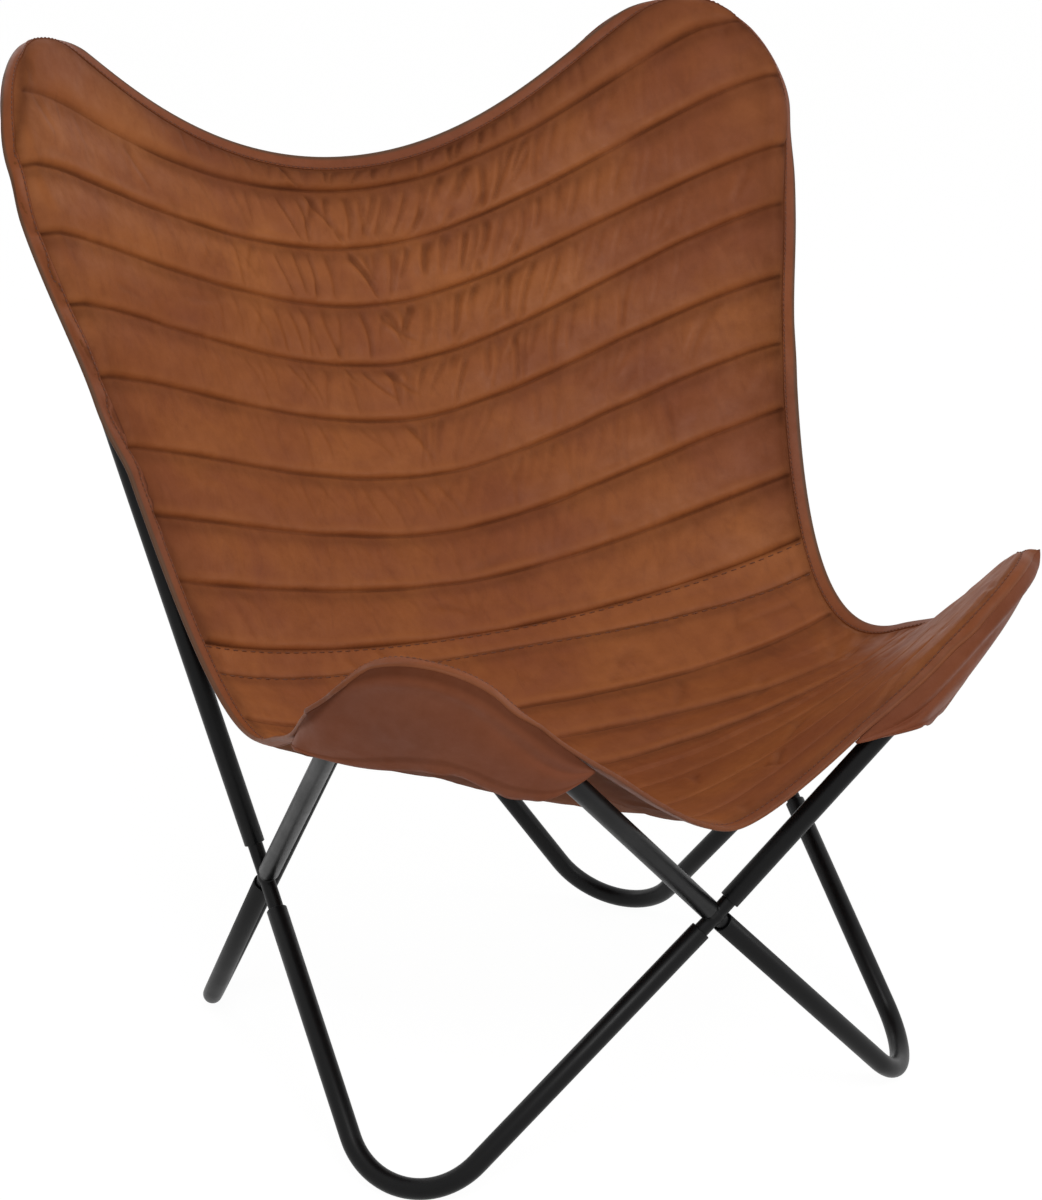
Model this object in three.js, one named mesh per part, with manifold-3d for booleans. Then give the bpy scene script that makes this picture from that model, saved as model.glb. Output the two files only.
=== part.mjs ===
// Butterfly sling chair: eight bent steel tubes on four welded cross joints carry a sewn
// leather sling by its four corner pockets. Millimetres, +Z up, the sitter looks along -Y.
// Every piece left of the middle is worked out, and the right one is its mirror image.

import * as THREE from "three";
import { mergeVertices } from "three/addons/utils/BufferGeometryUtils.js";
import Module from "manifold-3d";

const wasm = await Module();
wasm.setup();

// Tubes
const tubeDiameter = 18;
const tubeWall = 2;
const footBendRadius = 69;
const hornBendRadius = 59;
const backBendRadius = 100;
const footFlatDepth = 0.5;
const tubeSides = 12;
const bendSteps = 7;

// Cross joints: where the spigot axes meet, and how much of each spigot stays bare
const sideJointX = 268;
const sideJointY = 15;
const sideJointZ = 208;
const frontJointY = -290;
const frontJointZ = 229;
const rearJointY = 316;
const rearJointZ = 293;
const spigotClearance = 0.3;
const spigotReach = 45;
const stubNeck = 11;
const hornNeck = 13.5;
const throughNeck = 17;
const sideThroughNeck = 31;
const rearUpperNeck = 22;
const rearLowerNeck = 15;
const weldSwell = 1.7;

// Corners: where the straight legs of each bent tube would meet
const frontFootX = 275;
const frontFootY = -230;
const rearFootX = 238;
const rearFootY = 262;
const hornX = 323;
const hornY = -353;
const hornZ = 554;
const backX = 481;
const backY = 417;
const backZ = 1343;

// Sewn panels: thickness, and how far their edges reach past the tubes' centre lines
const fitGap = 0.3;
const panelThickness = 3;
const channelRise = 4;
const rimReach = 14;
const legRimReach = 20;
const lowerRimReach = 20;
const hornLegReach = 34;

// The sling's middle line, seen from the side
const topEdgeSag = 127;
const topEdgeBehindJoint = 64;
const backHollow = 45;
const backDrop = 142;
const seatPull = 270;
const seatAboveJoint = 78;
const seatLowAhead = 145;
const frontEdgePull = 62;
const frontEdgeDip = 10;
const frontEdgeAhead = 27;
const frontEdgeAbove = 86;

// The sling's free edges: how far each curve keeps the line of the tube that it leaves
const topRimPull = 55;
const topMiddlePull = 173;
const frontRimPull = 100;
const frontMiddlePull = 45;
const sideBackPull = 300;
const sideHornPull = 210;
const sideLeavesBack = 436;
const sideMeetsHorn = 330;

// Angles on the tube bends, from the bend's middle, and the slope of the seat's sides
const topCornerAngle = -THREE.MathUtils.degToRad(5);
const topLeavesAngle = THREE.MathUtils.degToRad(14);
const frontCornerAngle = THREE.MathUtils.degToRad(20);
const frontLeavesAngle = -THREE.MathUtils.degToRad(60);
const seatSideAngle = THREE.MathUtils.degToRad(26);

// Seams: places along the middle line and along the side edge, back to front
const seamMiddleShares = [
  0, 0.038, 0.098, 0.16, 0.225, 0.285, 0.35, 0.415, 0.473,
  0.533, 0.556, 0.634, 0.685, 0.74, 0.805, 0.87, 0.935, 1,
];
const seamEdgeShares = [
  0, 0.065, 0.13, 0.2, 0.258, 0.33, 0.396, 0.458, 0.522,
  0.585, 0.62, 0.67, 0.74, 0.79, 0.84, 0.89, 0.945, 1,
];
const bandTopSeam = 9;
const bandLowSeam = 10;
const cornerFadeStrips = 3;
const middlePullShare = 0.9;
const edgePullShare = 0.9;
const edgeRiseShare = 1;
const rowsPerStrip = 3;
const halfColumns = 9;

// Edge bindings: a strip on the upper face along every free edge
const bindingThickness = 1.2;
const sideBindingShare = 0.028;
const topBindingShare = 0.3;
const frontBindingShare = 0.18;

// Corner pockets: how far the hem lies below the bend's centre, and how far it hangs off the tubes
const pocketWall = 2.5;
const backPocketDrop = 120;
const hornPocketDrop = 76;
const backPocketSlack = 14;
const hornPocketSlack = 30;
const hemBow = 12;
const cutOverrun = 20;

// Colours
const steelBlack = 0x1b1b1c;
const leatherTan = 0x8a4f2c;
const leatherPlain = 0x7a4530;
const leatherEdge = 0x6b3d26;

const tubeRadius = tubeDiameter / 2;
const boreRadius = tubeRadius - tubeWall;
const spigotRadius = boreRadius - spigotClearance;
const panelLift = tubeRadius + fitGap + panelThickness / 2;

const point = (x, y, z) => new THREE.Vector3(x, y, z);
const mirrorOf = (v) => point(-v.x, v.y, v.z);
const seamTolerance = 1 / 50;
const sideTolerance = 1 / 1000;
const sideJoint = point(-sideJointX, sideJointY, sideJointZ);
const frontJoint = point(0, frontJointY, frontJointZ);
const rearJoint = point(0, rearJointY, rearJointZ);

// Solids

function solidOf(geometry) {
  const bare = geometry.clone();
  bare.deleteAttribute("normal");
  bare.deleteAttribute("uv");
  const merged = mergeVertices(bare);
  return new wasm.Manifold(
    new wasm.Mesh({
      numProp: 3,
      vertProperties: merged.attributes.position.array,
      triVerts: new Uint32Array(merged.index.array),
    }),
  );
}

function geometryOf(solid) {
  const mesh = solid.getMesh();
  const geometry = new THREE.BufferGeometry();
  geometry.setAttribute("position", new THREE.BufferAttribute(mesh.vertProperties, 3));
  geometry.setIndex(new THREE.BufferAttribute(mesh.triVerts, 1));
  geometry.computeVertexNormals();
  return geometry;
}

function mirrored(geometry) {
  const copy = geometry.index ? geometry.toNonIndexed() : geometry.clone();
  copy.scale(-1, 1, 1);
  const places = copy.attributes.position;
  for (let i = 0; i < places.count; i += 3) {
    const second = point().fromBufferAttribute(places, i + 1);
    const third = point().fromBufferAttribute(places, i + 2);
    places.setXYZ(i + 1, ...third);
    places.setXYZ(i + 2, ...second);
  }
  copy.computeVertexNormals();
  return copy;
}

// Bent tubes

// A straight leg, a round bend and a second straight leg, in one plane.
class BentLine extends THREE.Curve {
  constructor(firstJoint, corner, secondJoint, radius) {
    super();
    this.firstJoint = firstJoint;
    this.secondJoint = secondJoint;
    this.radius = radius;
    this.toFirst = firstJoint.clone().sub(corner).normalize();
    this.toSecond = secondJoint.clone().sub(corner).normalize();
    this.inward = this.toFirst.clone().add(this.toSecond).normalize();
    this.across = this.toSecond.clone().sub(this.toFirst).normalize();
    this.facing = this.inward.clone().cross(this.across);
    this.halfAngle = this.toFirst.angleTo(this.toSecond) / 2;
    this.halfTurn = Math.PI / 2 - this.halfAngle;
    this.centre = corner.clone().addScaledVector(this.inward, radius / Math.sin(this.halfAngle));
    this.firstGap = 0;
    this.secondGap = 0;
  }

  // The same line with its square ends this far from the joints' middles.
  cut(firstGap, secondGap) {
    const copy = Object.create(BentLine.prototype);
    return Object.assign(copy, this, { firstGap, secondGap });
  }

  // A place by its angle from the bend's middle, its reach outside the centre line and its lift.
  onBend(angle, reach = 0, lift = 0) {
    const radius = this.radius + reach;
    return this.centre
      .clone()
      .addScaledVector(this.inward, -radius * Math.cos(angle))
      .addScaledVector(this.across, radius * Math.sin(angle))
      .addScaledVector(this.facing, lift);
  }

  onFirstLeg(fromJoint, reach, lift) {
    const outward = this.inward.clone().addScaledVector(this.toFirst, -Math.cos(this.halfAngle));
    return this.firstJoint
      .clone()
      .addScaledVector(this.toFirst, -fromJoint)
      .addScaledVector(outward.normalize(), -reach)
      .addScaledVector(this.facing, lift);
  }

  onSecondLeg(fromJoint, reach, lift) {
    const outward = this.inward.clone().addScaledVector(this.toSecond, -Math.cos(this.halfAngle));
    return this.secondJoint
      .clone()
      .addScaledVector(this.toSecond, -fromJoint)
      .addScaledVector(outward.normalize(), -reach)
      .addScaledVector(this.facing, lift);
  }

  angleAt(t) {
    return ((2 * (t * (bendSteps + 2) - 1)) / bendSteps - 1) * this.halfTurn;
  }

  getPoint(t) {
    if (t <= 0) return this.firstJoint.clone().addScaledVector(this.toFirst, -this.firstGap);
    if (t >= 1) return this.secondJoint.clone().addScaledVector(this.toSecond, -this.secondGap);
    return this.onBend(this.angleAt(t));
  }

  getTangent(t) {
    if (t <= 0) return this.toFirst.clone().negate();
    if (t >= 1) return this.toSecond.clone();
    const angle = this.angleAt(t);
    return this.inward
      .clone()
      .multiplyScalar(Math.sin(angle))
      .addScaledVector(this.across, Math.cos(angle));
  }

  getUtoTmapping(u) {
    return u;
  }
}

function ring(radius) {
  const corners = [];
  for (let i = 0; i < tubeSides; i++) {
    const angle = (2 * Math.PI * i) / tubeSides;
    corners.push(new THREE.Vector2(radius * Math.cos(angle), radius * Math.sin(angle)));
  }
  return corners;
}

// The bore's flats touch its true circle, so a round spigot keeps its clearance.
function tubeGeometry(line) {
  const section = new THREE.Shape(ring(tubeRadius));
  section.holes.push(new THREE.Path(ring(boreRadius / Math.cos(Math.PI / tubeSides))));
  return new THREE.ExtrudeGeometry(section, { extrudePath: line, steps: bendSteps + 2 });
}

// A foot's corner lies below the floor, so deep that its bend reaches the floor.
function footLine(x, y, otherJoint) {
  const rounds = 20;
  const corner = point(-x, y, 0);
  let line;
  for (let i = 0; i < rounds; i++) {
    line = new BentLine(sideJoint, corner, otherJoint, footBendRadius);
    const tube = tubeGeometry(line);
    tube.computeBoundingBox();
    corner.z -= tube.boundingBox.min.z + footFlatDepth;
  }
  return line;
}

const frontFoot = footLine(frontFootX, frontFootY, frontJoint);
const rearFoot = footLine(rearFootX, rearFootY, rearJoint);
const horn = new BentLine(frontJoint, point(-hornX, hornY, hornZ), sideJoint, hornBendRadius);
const back = new BentLine(sideJoint, point(-backX, backY, backZ), rearJoint, backBendRadius);

// The bend of a foot is flat where it stands.
function footGeometry(line) {
  const block = new THREE.BoxGeometry(
    6 * footBendRadius, 6 * footBendRadius, footBendRadius,
  ).translate(line.centre.x, line.centre.y, -footBendRadius / 2);
  return geometryOf(solidOf(tubeGeometry(line)).subtract(solidOf(block)));
}

// Cross joints

function spigotGeometry(joint, direction, neck) {
  const length = neck + spigotReach;
  const up = point(0, 1, 0);
  return new THREE.CylinderGeometry(spigotRadius, spigotRadius, length, tubeSides)
    .applyQuaternion(new THREE.Quaternion().setFromUnitVectors(up, direction))
    .translate(...joint.clone().addScaledVector(direction, length / 2));
}

function crossGeometry(joint, spigots) {
  const weld = new THREE.SphereGeometry(spigotRadius + weldSwell, tubeSides, tubeSides / 2);
  let solid = solidOf(weld.translate(...joint));
  for (const { direction, neck } of spigots) {
    solid = solid.add(solidOf(spigotGeometry(joint, direction, neck)));
  }
  return geometryOf(solid);
}

const away = (v) => v.clone().negate();
const sideSpigots = [
  { direction: away(frontFoot.toFirst), neck: sideThroughNeck },
  { direction: away(back.toFirst), neck: sideThroughNeck },
  { direction: away(rearFoot.toFirst), neck: stubNeck },
  { direction: away(horn.toSecond), neck: hornNeck },
];
const frontSpigots = [
  { direction: away(frontFoot.toSecond), neck: throughNeck },
  { direction: mirrorOf(away(horn.toFirst)), neck: throughNeck },
  { direction: mirrorOf(away(frontFoot.toSecond)), neck: stubNeck },
  { direction: away(horn.toFirst), neck: stubNeck },
];
const rearSpigots = [
  { direction: away(rearFoot.toSecond), neck: rearLowerNeck },
  { direction: mirrorOf(away(rearFoot.toSecond)), neck: rearLowerNeck },
  { direction: away(back.toSecond), neck: rearUpperNeck },
  { direction: mirrorOf(away(back.toSecond)), neck: rearUpperNeck },
];

// The sling's surface

const middleLine = (() => {
  const top = point(0, rearJointY + topEdgeBehindJoint, back.onBend(0).z - topEdgeSag);
  const low = point(0, sideJointY - seatLowAhead, sideJointZ + seatAboveJoint);
  const front = point(0, frontJointY - frontEdgeAhead, frontJointZ + frontEdgeAbove);
  const path = new THREE.CurvePath();
  path.add(new THREE.CubicBezierCurve3(
    top,
    point(0, top.y - backHollow, top.z - backDrop),
    point(0, low.y + seatPull, low.z),
    low,
  ));
  path.add(new THREE.CubicBezierCurve3(
    low,
    point(0, low.y - frontEdgePull, low.z),
    point(0, front.y + frontEdgePull, front.z - frontEdgeDip),
    front,
  ));
  return path;
})();

function along(path, from, to, steps) {
  const places = [];
  for (let i = 0; i <= steps; i++) places.push(path(from + ((to - from) * i) / steps));
  return places;
}

const smooth = (places) => new THREE.CatmullRomCurve3(places, false, "centripetal");

// The left edge: round the top bend, down the back leg, free past the seat, up to the horn.
const sideEdge = (() => {
  const bendEnd = sideJoint.distanceTo(back.onBend(-back.halfTurn));
  const hornBendEnd = sideJoint.distanceTo(horn.onBend(horn.halfTurn));
  const leaves = back.onFirstLeg(sideLeavesBack, lowerRimReach, panelLift);
  const meets = horn.onSecondLeg(sideMeetsHorn, hornLegReach, panelLift);
  const onTopRim = (angle) => back.onBend(angle, rimReach, panelLift);
  const onHornRim = (angle) => horn.onBend(angle, rimReach, panelLift);
  const path = new THREE.CurvePath();
  path.add(smooth([
    ...along(onTopRim, topCornerAngle, -back.halfTurn, 5),
    back.onFirstLeg((bendEnd + sideLeavesBack) / 2, legRimReach, panelLift),
    leaves,
  ]));
  path.add(new THREE.CubicBezierCurve3(
    leaves,
    leaves.clone().addScaledVector(back.toFirst, sideBackPull),
    meets.clone().addScaledVector(horn.toSecond, sideHornPull),
    meets,
  ));
  path.add(smooth([meets, ...along(onHornRim, horn.halfTurn, frontCornerAngle, 4)]));
  return path;
})();

// From the middle of a free cross edge to the tube bend that it joins, then round that bend.
function crossEdge(line, leavesAngle, cornerAngle, middle, rimPull, middlePull) {
  const onRim = (angle) => line.onBend(angle, rimReach, panelLift);
  const leaves = onRim(leavesAngle);
  const inwardTurn = Math.sign(leavesAngle);
  const direction = line.inward
    .clone()
    .multiplyScalar(Math.sin(Math.abs(leavesAngle)))
    .addScaledVector(line.across, inwardTurn * Math.cos(leavesAngle));
  const path = new THREE.CurvePath();
  path.add(new THREE.CubicBezierCurve3(
    middle,
    point(-middlePull, middle.y, middle.z),
    leaves.clone().addScaledVector(direction, rimPull),
    leaves,
  ));
  path.add(smooth(along(onRim, leavesAngle, cornerAngle, 5)));
  return path;
}

const topEdge = crossEdge(
  back, topLeavesAngle, topCornerAngle, middleLine.getPoint(0), topRimPull, topMiddlePull,
);
const frontEdge = crossEdge(
  horn, frontLeavesAngle, frontCornerAngle, middleLine.getPoint(1), frontRimPull, frontMiddlePull,
);

const mix = (a, b, share) => a + (b - a) * share;

function shareAt(shares, row) {
  const before = Math.min(Math.floor(row), shares.length - 2);
  return Math.min(mix(shares[before], shares[before + 1], row - before), 1);
}

// A quadratic blend from the back's value by the seat side's to the horn's.
function blend(first, second, third, share) {
  const rest = 1 - share;
  return first
    .clone()
    .multiplyScalar(rest * rest)
    .addScaledVector(second, 2 * share * rest)
    .addScaledVector(third, share * share);
}

const seatSide = point(-Math.cos(seatSideAngle), 0, Math.sin(seatSideAngle));
const hornSide = horn.across.clone().sub(horn.inward).normalize();
const backUp = point(0, 0, 1).addScaledVector(back.facing, -back.facing.z).normalize();
const [edgeLeaves, edgeMeets] = (() => {
  const lengths = sideEdge.getCurveLengths();
  return [lengths[0] / lengths[2], lengths[1] / lengths[2]];
})();

// A row of the plain sling, from the middle line (s = 0) to the left edge (s = 1).
function plainRow(row, s) {
  const edgeShare = shareAt(seamEdgeShares, row);
  const middle = middleLine.getPoint(shareAt(seamMiddleShares, row));
  const edge = sideEdge.getPoint(edgeShare);
  const turn = THREE.MathUtils.clamp((edgeShare - edgeLeaves) / (edgeMeets - edgeLeaves), 0, 1);
  const span = middle.distanceTo(edge);
  const rise = edge.z - middle.z;
  const end = blend(away(back.across), seatSide, hornSide, turn)
    .multiplyScalar(edgePullShare * span)
    .addScaledVector(backUp, edgeRiseShare * rise * (1 - turn) * (1 - turn));
  const square = s * s;
  const cube = square * s;
  return middle
    .clone()
    .multiplyScalar(2 * cube - 3 * square + 1)
    .addScaledVector(point(-1, 0, 0), (cube - 2 * square + s) * middlePullShare * span)
    .addScaledVector(edge, 3 * square - 2 * cube)
    .addScaledVector(end, cube - square);
}

const lastRow = seamMiddleShares.length - 1;

// The whole sling: its end rows follow the top and front edges, and the next few ease off them.
function slingPoint(row, u) {
  const s = Math.abs(u);
  const place = plainRow(row, s);
  const top = THREE.MathUtils.smoothstep(cornerFadeStrips - row, 0, cornerFadeStrips);
  const front = THREE.MathUtils.smoothstep(row - lastRow + cornerFadeStrips, 0, cornerFadeStrips);
  if (top > 0) place.addScaledVector(topEdge.getPoint(s).sub(plainRow(0, s)), top);
  if (front > 0) place.addScaledVector(frontEdge.getPoint(s).sub(plainRow(lastRow, s)), front);
  return u > 0 ? mirrorOf(place) : place;
}

function slingNormal(row, u) {
  const step = 1 / 50;
  const above = slingPoint(Math.max(row - step, 0), u);
  const below = slingPoint(Math.min(row + step, lastRow), u);
  const left = slingPoint(row, Math.max(u - step, -1));
  const right = slingPoint(row, Math.min(u + step, 1));
  return below.sub(above).cross(right.sub(left)).normalize();
}

// How far a strip swells between its seams. It is flat at the bound edges and on the join band.
function swell(row, u) {
  const fromEnds = Math.min(row - topBindingShare, lastRow - frontBindingShare - row);
  const fromSides = 1 - sideBindingShare - Math.abs(u);
  const onBand = row >= bandTopSeam && row <= bandLowSeam;
  const onSeam = Math.abs(row - Math.round(row)) < seamTolerance;
  if (fromEnds < seamTolerance || fromSides < sideTolerance || onBand || onSeam) return 0;
  return channelRise;
}

// A closed slab between two offsets from the sling, over a grid of rows and columns.
function slab(rows, columns, lower, upper) {
  const places = [];
  for (const offset of [upper, lower]) {
    for (const row of rows) {
      for (const u of columns) {
        const lift = offset + swell(row, u);
        places.push(...slingPoint(row, u).addScaledVector(slingNormal(row, u), lift));
      }
    }
  }
  const width = columns.length;
  const layer = rows.length * width;
  const corners = [];
  const quad = (a, b, c, d) => corners.push(a, b, c, a, c, d);
  for (let i = 0; i < rows.length - 1; i++) {
    for (let j = 0; j < width - 1; j++) {
      const a = i * width + j;
      quad(a, a + width, a + width + 1, a + 1);
      quad(layer + a, layer + a + 1, layer + a + width + 1, layer + a + width);
    }
  }
  for (let j = 0; j < width - 1; j++) {
    const last = (rows.length - 1) * width + j;
    quad(j, j + 1, layer + j + 1, layer + j);
    quad(last + 1, last, layer + last, layer + last + 1);
  }
  for (let i = 0; i < rows.length - 1; i++) {
    const left = i * width;
    const right = left + width - 1;
    quad(left + width, left, layer + left, layer + left + width);
    quad(right, right + width, layer + right + width, layer + right);
  }
  const geometry = new THREE.BufferGeometry();
  geometry.setAttribute("position", new THREE.Float32BufferAttribute(places, 3));
  geometry.setIndex(corners);
  geometry.computeVertexNormals();
  return geometry;
}

const evenly = (from, to, steps) => along((value) => value, from, to, steps);

// Half the fit gap, counted in strips of the width that they have on the middle line.
function halfGap(strip) {
  const width = (seamMiddleShares[strip + 1] - seamMiddleShares[strip]) * middleLine.getLength();
  return fitGap / 2 / width;
}

// Rows of a piece between two seams, with half a fit gap left at each seam that it meets.
function pieceRows(firstSeam, lastSeam) {
  const rows = evenly(firstSeam, lastSeam, (lastSeam - firstSeam) * rowsPerStrip);
  if (firstSeam > 0) rows[0] += halfGap(firstSeam);
  else rows.splice(1, 1, topBindingShare);
  if (lastSeam < lastRow) rows[rows.length - 1] -= halfGap(lastSeam - 1);
  else rows.splice(rows.length - 1, 0, lastRow - frontBindingShare);
  return rows;
}

const innerColumns = evenly(-1 + sideBindingShare, 1 - sideBindingShare, 2 * halfColumns);
const panelTop = panelThickness / 2;
const bindingBase = panelTop + fitGap;

function panelGeometry(firstSeam, lastSeam) {
  return slab(pieceRows(firstSeam, lastSeam), [-1, ...innerColumns, 1], -panelTop, panelTop);
}

const crossBindingGeometry = (rows) =>
  slab(rows, innerColumns, bindingBase, bindingBase + bindingThickness);

function sideBindingGeometry() {
  const rows = [
    ...pieceRows(0, bandTopSeam),
    ...pieceRows(bandTopSeam, bandLowSeam),
    ...pieceRows(bandLowSeam, lastRow),
  ];
  // It ends half a fit gap outside the strips that cross it.
  const inner = -1 + sideBindingShare - fitGap / middleLine.getLength();
  return slab(rows, [-1, inner], bindingBase, bindingBase + bindingThickness);
}

// Corner pockets

// The outline in the bend's own plane: over the bend, down both legs and along the hem.
function pocketOutline(line, reach, drop) {
  const radius = line.radius + reach;
  const legWidth =
    radius * Math.cos(line.halfAngle) +
    (radius * Math.sin(line.halfAngle) + drop) * Math.tan(line.halfAngle);
  const onArc = (angle) => new THREE.Vector2(radius * Math.sin(angle), radius * Math.cos(angle));
  return [
    new THREE.Vector2(-legWidth, -drop),
    new THREE.Vector2(0, -drop - hemBow),
    new THREE.Vector2(legWidth, -drop),
    ...along(onArc, line.halfTurn, -line.halfTurn, bendSteps),
  ];
}

// A prism over the outline. Its back leans away from the tubes towards the hem.
function pocketPrism(line, reach, drop, frontLift, tipLift, hemLift) {
  const outline = pocketOutline(line, reach, drop);
  const count = outline.length;
  const tip = line.radius + reach;
  const place = (v, lift) =>
    line.centre
      .clone()
      .addScaledVector(line.across, v.x)
      .addScaledVector(line.inward, -v.y)
      .addScaledVector(line.facing, lift);
  const backLift = (v) => mix(tipLift, hemLift, (tip - v.y) / (tip + drop));
  const places = [
    ...outline.map((v) => place(v, frontLift)),
    ...outline.map((v) => place(v, backLift(v))),
  ].flatMap((v) => v.toArray());
  const corners = [];
  for (const [a, b, c] of THREE.ShapeUtils.triangulateShape(outline, [])) {
    corners.push(a, b, c, count + a, count + c, count + b);
  }
  for (let i = 0; i < count; i++) {
    const next = (i + 1) % count;
    corners.push(i, count + i, count + next, i, count + next, next);
  }
  const geometry = new THREE.BufferGeometry();
  geometry.setAttribute("position", new THREE.Float32BufferAttribute(places, 3));
  geometry.setIndex(corners);
  return geometry;
}

function pocketGeometry(line, drop, slack) {
  const inner = tubeRadius + fitGap;
  const outer = inner + pocketWall;
  const shell = pocketPrism(line, outer, drop, tubeRadius, -outer, -outer - slack);
  const space = pocketPrism(
    line, inner, drop + hemBow + cutOverrun, tubeRadius + cutOverrun, -inner, -inner - slack,
  );
  return geometryOf(solidOf(shell).subtract(solidOf(space)));
}

// Assembly

const steel = () =>
  new THREE.MeshStandardMaterial({ color: steelBlack, roughness: 0.45, metalness: 0.3 });
const leather = (color, roughness) =>
  new THREE.MeshStandardMaterial({ color, roughness, metalness: 0 });

const chair = new THREE.Group();

function add(name, geometry, material) {
  const mesh = new THREE.Mesh(geometry, material);
  mesh.name = name;
  chair.add(mesh);
}

const bothSides = (name, left, right, material) => {
  add(name + "_left", left, material());
  add(name + "_right", mirrored(right), material());
};
const alike = (name, left, material) => bothSides(name, left, left, material);
const tan = () => leather(leatherTan, 0.5);
const plain = () => leather(leatherPlain, 0.6);
const edging = () => leather(leatherEdge, 0.5);

bothSides(
  "foot_tube_front",
  footGeometry(frontFoot.cut(sideThroughNeck, throughNeck)),
  footGeometry(frontFoot.cut(sideThroughNeck, stubNeck)),
  steel,
);
alike("foot_tube_rear", footGeometry(rearFoot.cut(stubNeck, rearLowerNeck)), steel);
bothSides(
  "horn_tube_front",
  tubeGeometry(horn.cut(stubNeck, hornNeck)),
  tubeGeometry(horn.cut(throughNeck, hornNeck)),
  steel,
);
alike("back_tube", tubeGeometry(back.cut(sideThroughNeck, rearUpperNeck)), steel);
alike("cross_joint", crossGeometry(sideJoint, sideSpigots), steel);
add("cross_joint_front", crossGeometry(frontJoint, frontSpigots), steel());
add("cross_joint_rear", crossGeometry(rearJoint, rearSpigots), steel());
add("back_panel", panelGeometry(0, bandTopSeam), tan());
add("join_band", panelGeometry(bandTopSeam, bandLowSeam), tan());
add("seat_panel", panelGeometry(bandLowSeam, lastRow), tan());
alike("pocket_back", pocketGeometry(back, backPocketDrop, backPocketSlack), plain);
alike("pocket_front", pocketGeometry(horn, hornPocketDrop, hornPocketSlack), plain);
const frontBindingRows = [lastRow - frontBindingShare, lastRow];
add("edge_binding_top", crossBindingGeometry([0, topBindingShare]), edging());
add("edge_binding_front", crossBindingGeometry(frontBindingRows), edging());
alike("edge_binding", sideBindingGeometry(), edging);

// The chair stands at the middle of its own box.
const box = new THREE.Box3().setFromObject(chair);
const boxMiddle = box.getCenter(point());
chair.position.set(-boxMiddle.x, -boxMiddle.y, -box.min.z);

export default chair;
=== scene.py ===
"""A leather butterfly sling chair. Metres, +Z up, and the sitter looks along -Y.

The frame's left half is worked out and mirrored. The sling's two sides are much alike, but their
rims, the ends of their seams and the hems of their front pockets differ a little.
"""

import math

import bmesh
import bpy
import numpy as np
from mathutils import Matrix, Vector
from mathutils.bvhtree import BVHTree


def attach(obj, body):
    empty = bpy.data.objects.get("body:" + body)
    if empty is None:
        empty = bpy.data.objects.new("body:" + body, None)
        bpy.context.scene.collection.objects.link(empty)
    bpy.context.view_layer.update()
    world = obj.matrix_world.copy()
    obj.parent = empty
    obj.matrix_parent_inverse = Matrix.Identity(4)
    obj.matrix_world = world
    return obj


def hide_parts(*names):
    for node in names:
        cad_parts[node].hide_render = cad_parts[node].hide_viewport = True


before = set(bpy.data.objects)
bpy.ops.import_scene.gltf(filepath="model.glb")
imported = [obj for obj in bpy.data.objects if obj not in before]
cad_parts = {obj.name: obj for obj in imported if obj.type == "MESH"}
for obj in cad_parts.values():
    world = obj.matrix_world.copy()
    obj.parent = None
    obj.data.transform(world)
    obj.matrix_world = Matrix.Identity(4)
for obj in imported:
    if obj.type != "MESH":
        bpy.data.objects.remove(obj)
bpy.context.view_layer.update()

MM = 0.001
TINY = 1e-12

# Tubes
TUBE_RADIUS = 9 * MM
TUBE_WALL = 2 * MM
FOOT_BEND_RADIUS = 69 * MM
HORN_BEND_RADIUS = 59 * MM
BACK_BEND_RADIUS = 100 * MM
FOOT_FLAT_DEPTH = 0.5 * MM
TUBE_END_CHAMFER = 0.5 * MM
TUBE_SIDES = 40
BEND_STEPS = 36
BORE_STEP = 3
SETTLE_ROUNDS = 20

# Cross joints: where the spigot axes meet, and how much of each spigot stays bare
BOX_MIDDLE_Y = 15.564 * MM
SIDE_JOINT = (-268 * MM, 15 * MM, 208 * MM)
FRONT_JOINT = (0, -290 * MM, 229 * MM)
REAR_JOINT = (0, 316 * MM, 293 * MM)
SPIGOT_CLEARANCE = 0.3 * MM
SPIGOT_REACH = 45 * MM
STUB_NECK = 11 * MM
HORN_NECK = 13.5 * MM
THROUGH_NECK = 17 * MM
SIDE_THROUGH_NECK = 31 * MM
REAR_UPPER_NECK = 22 * MM
REAR_LOWER_NECK = 15 * MM
WELD_SWELL = 1.2 * MM
JOINT_VOXEL = 0.8 * MM * 1
WELD_SMOOTH_ROUNDS = 5

# Corners: where the straight legs of each bent tube would meet
FRONT_FOOT = (-275 * MM, -230 * MM, 0)
REAR_FOOT = (-238 * MM, 262 * MM, 0)
HORN_CORNER = (-323 * MM, -353 * MM, 554 * MM)
BACK_CORNER = (-481 * MM, 417 * MM, 1343 * MM)

# Sewn panels: how far they reach past the tubes' centre lines
FIT_GAP = 0.3 * MM
PANEL_THICKNESS = 2.4 * MM
PANEL_LIFT = TUBE_RADIUS + FIT_GAP + PANEL_THICKNESS / 2
STRIP_SWELL = 4.4 * MM
BACK_RIM_REACH = 20 * MM
RIM_REACH = 14 * MM
LOWER_RIM_REACH = 20 * MM
HORN_LEG_REACH = 34 * MM
HORN_WIDE_REACH = 39 * MM
HORN_WIDE_SHARE = 0.35
HORN_BEND_END_REACH = 30 * MM
BACK_RIM_WIDENS_OVER = math.radians(38)
HORN_RIM_WIDENS_FROM = math.radians(30)

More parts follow.
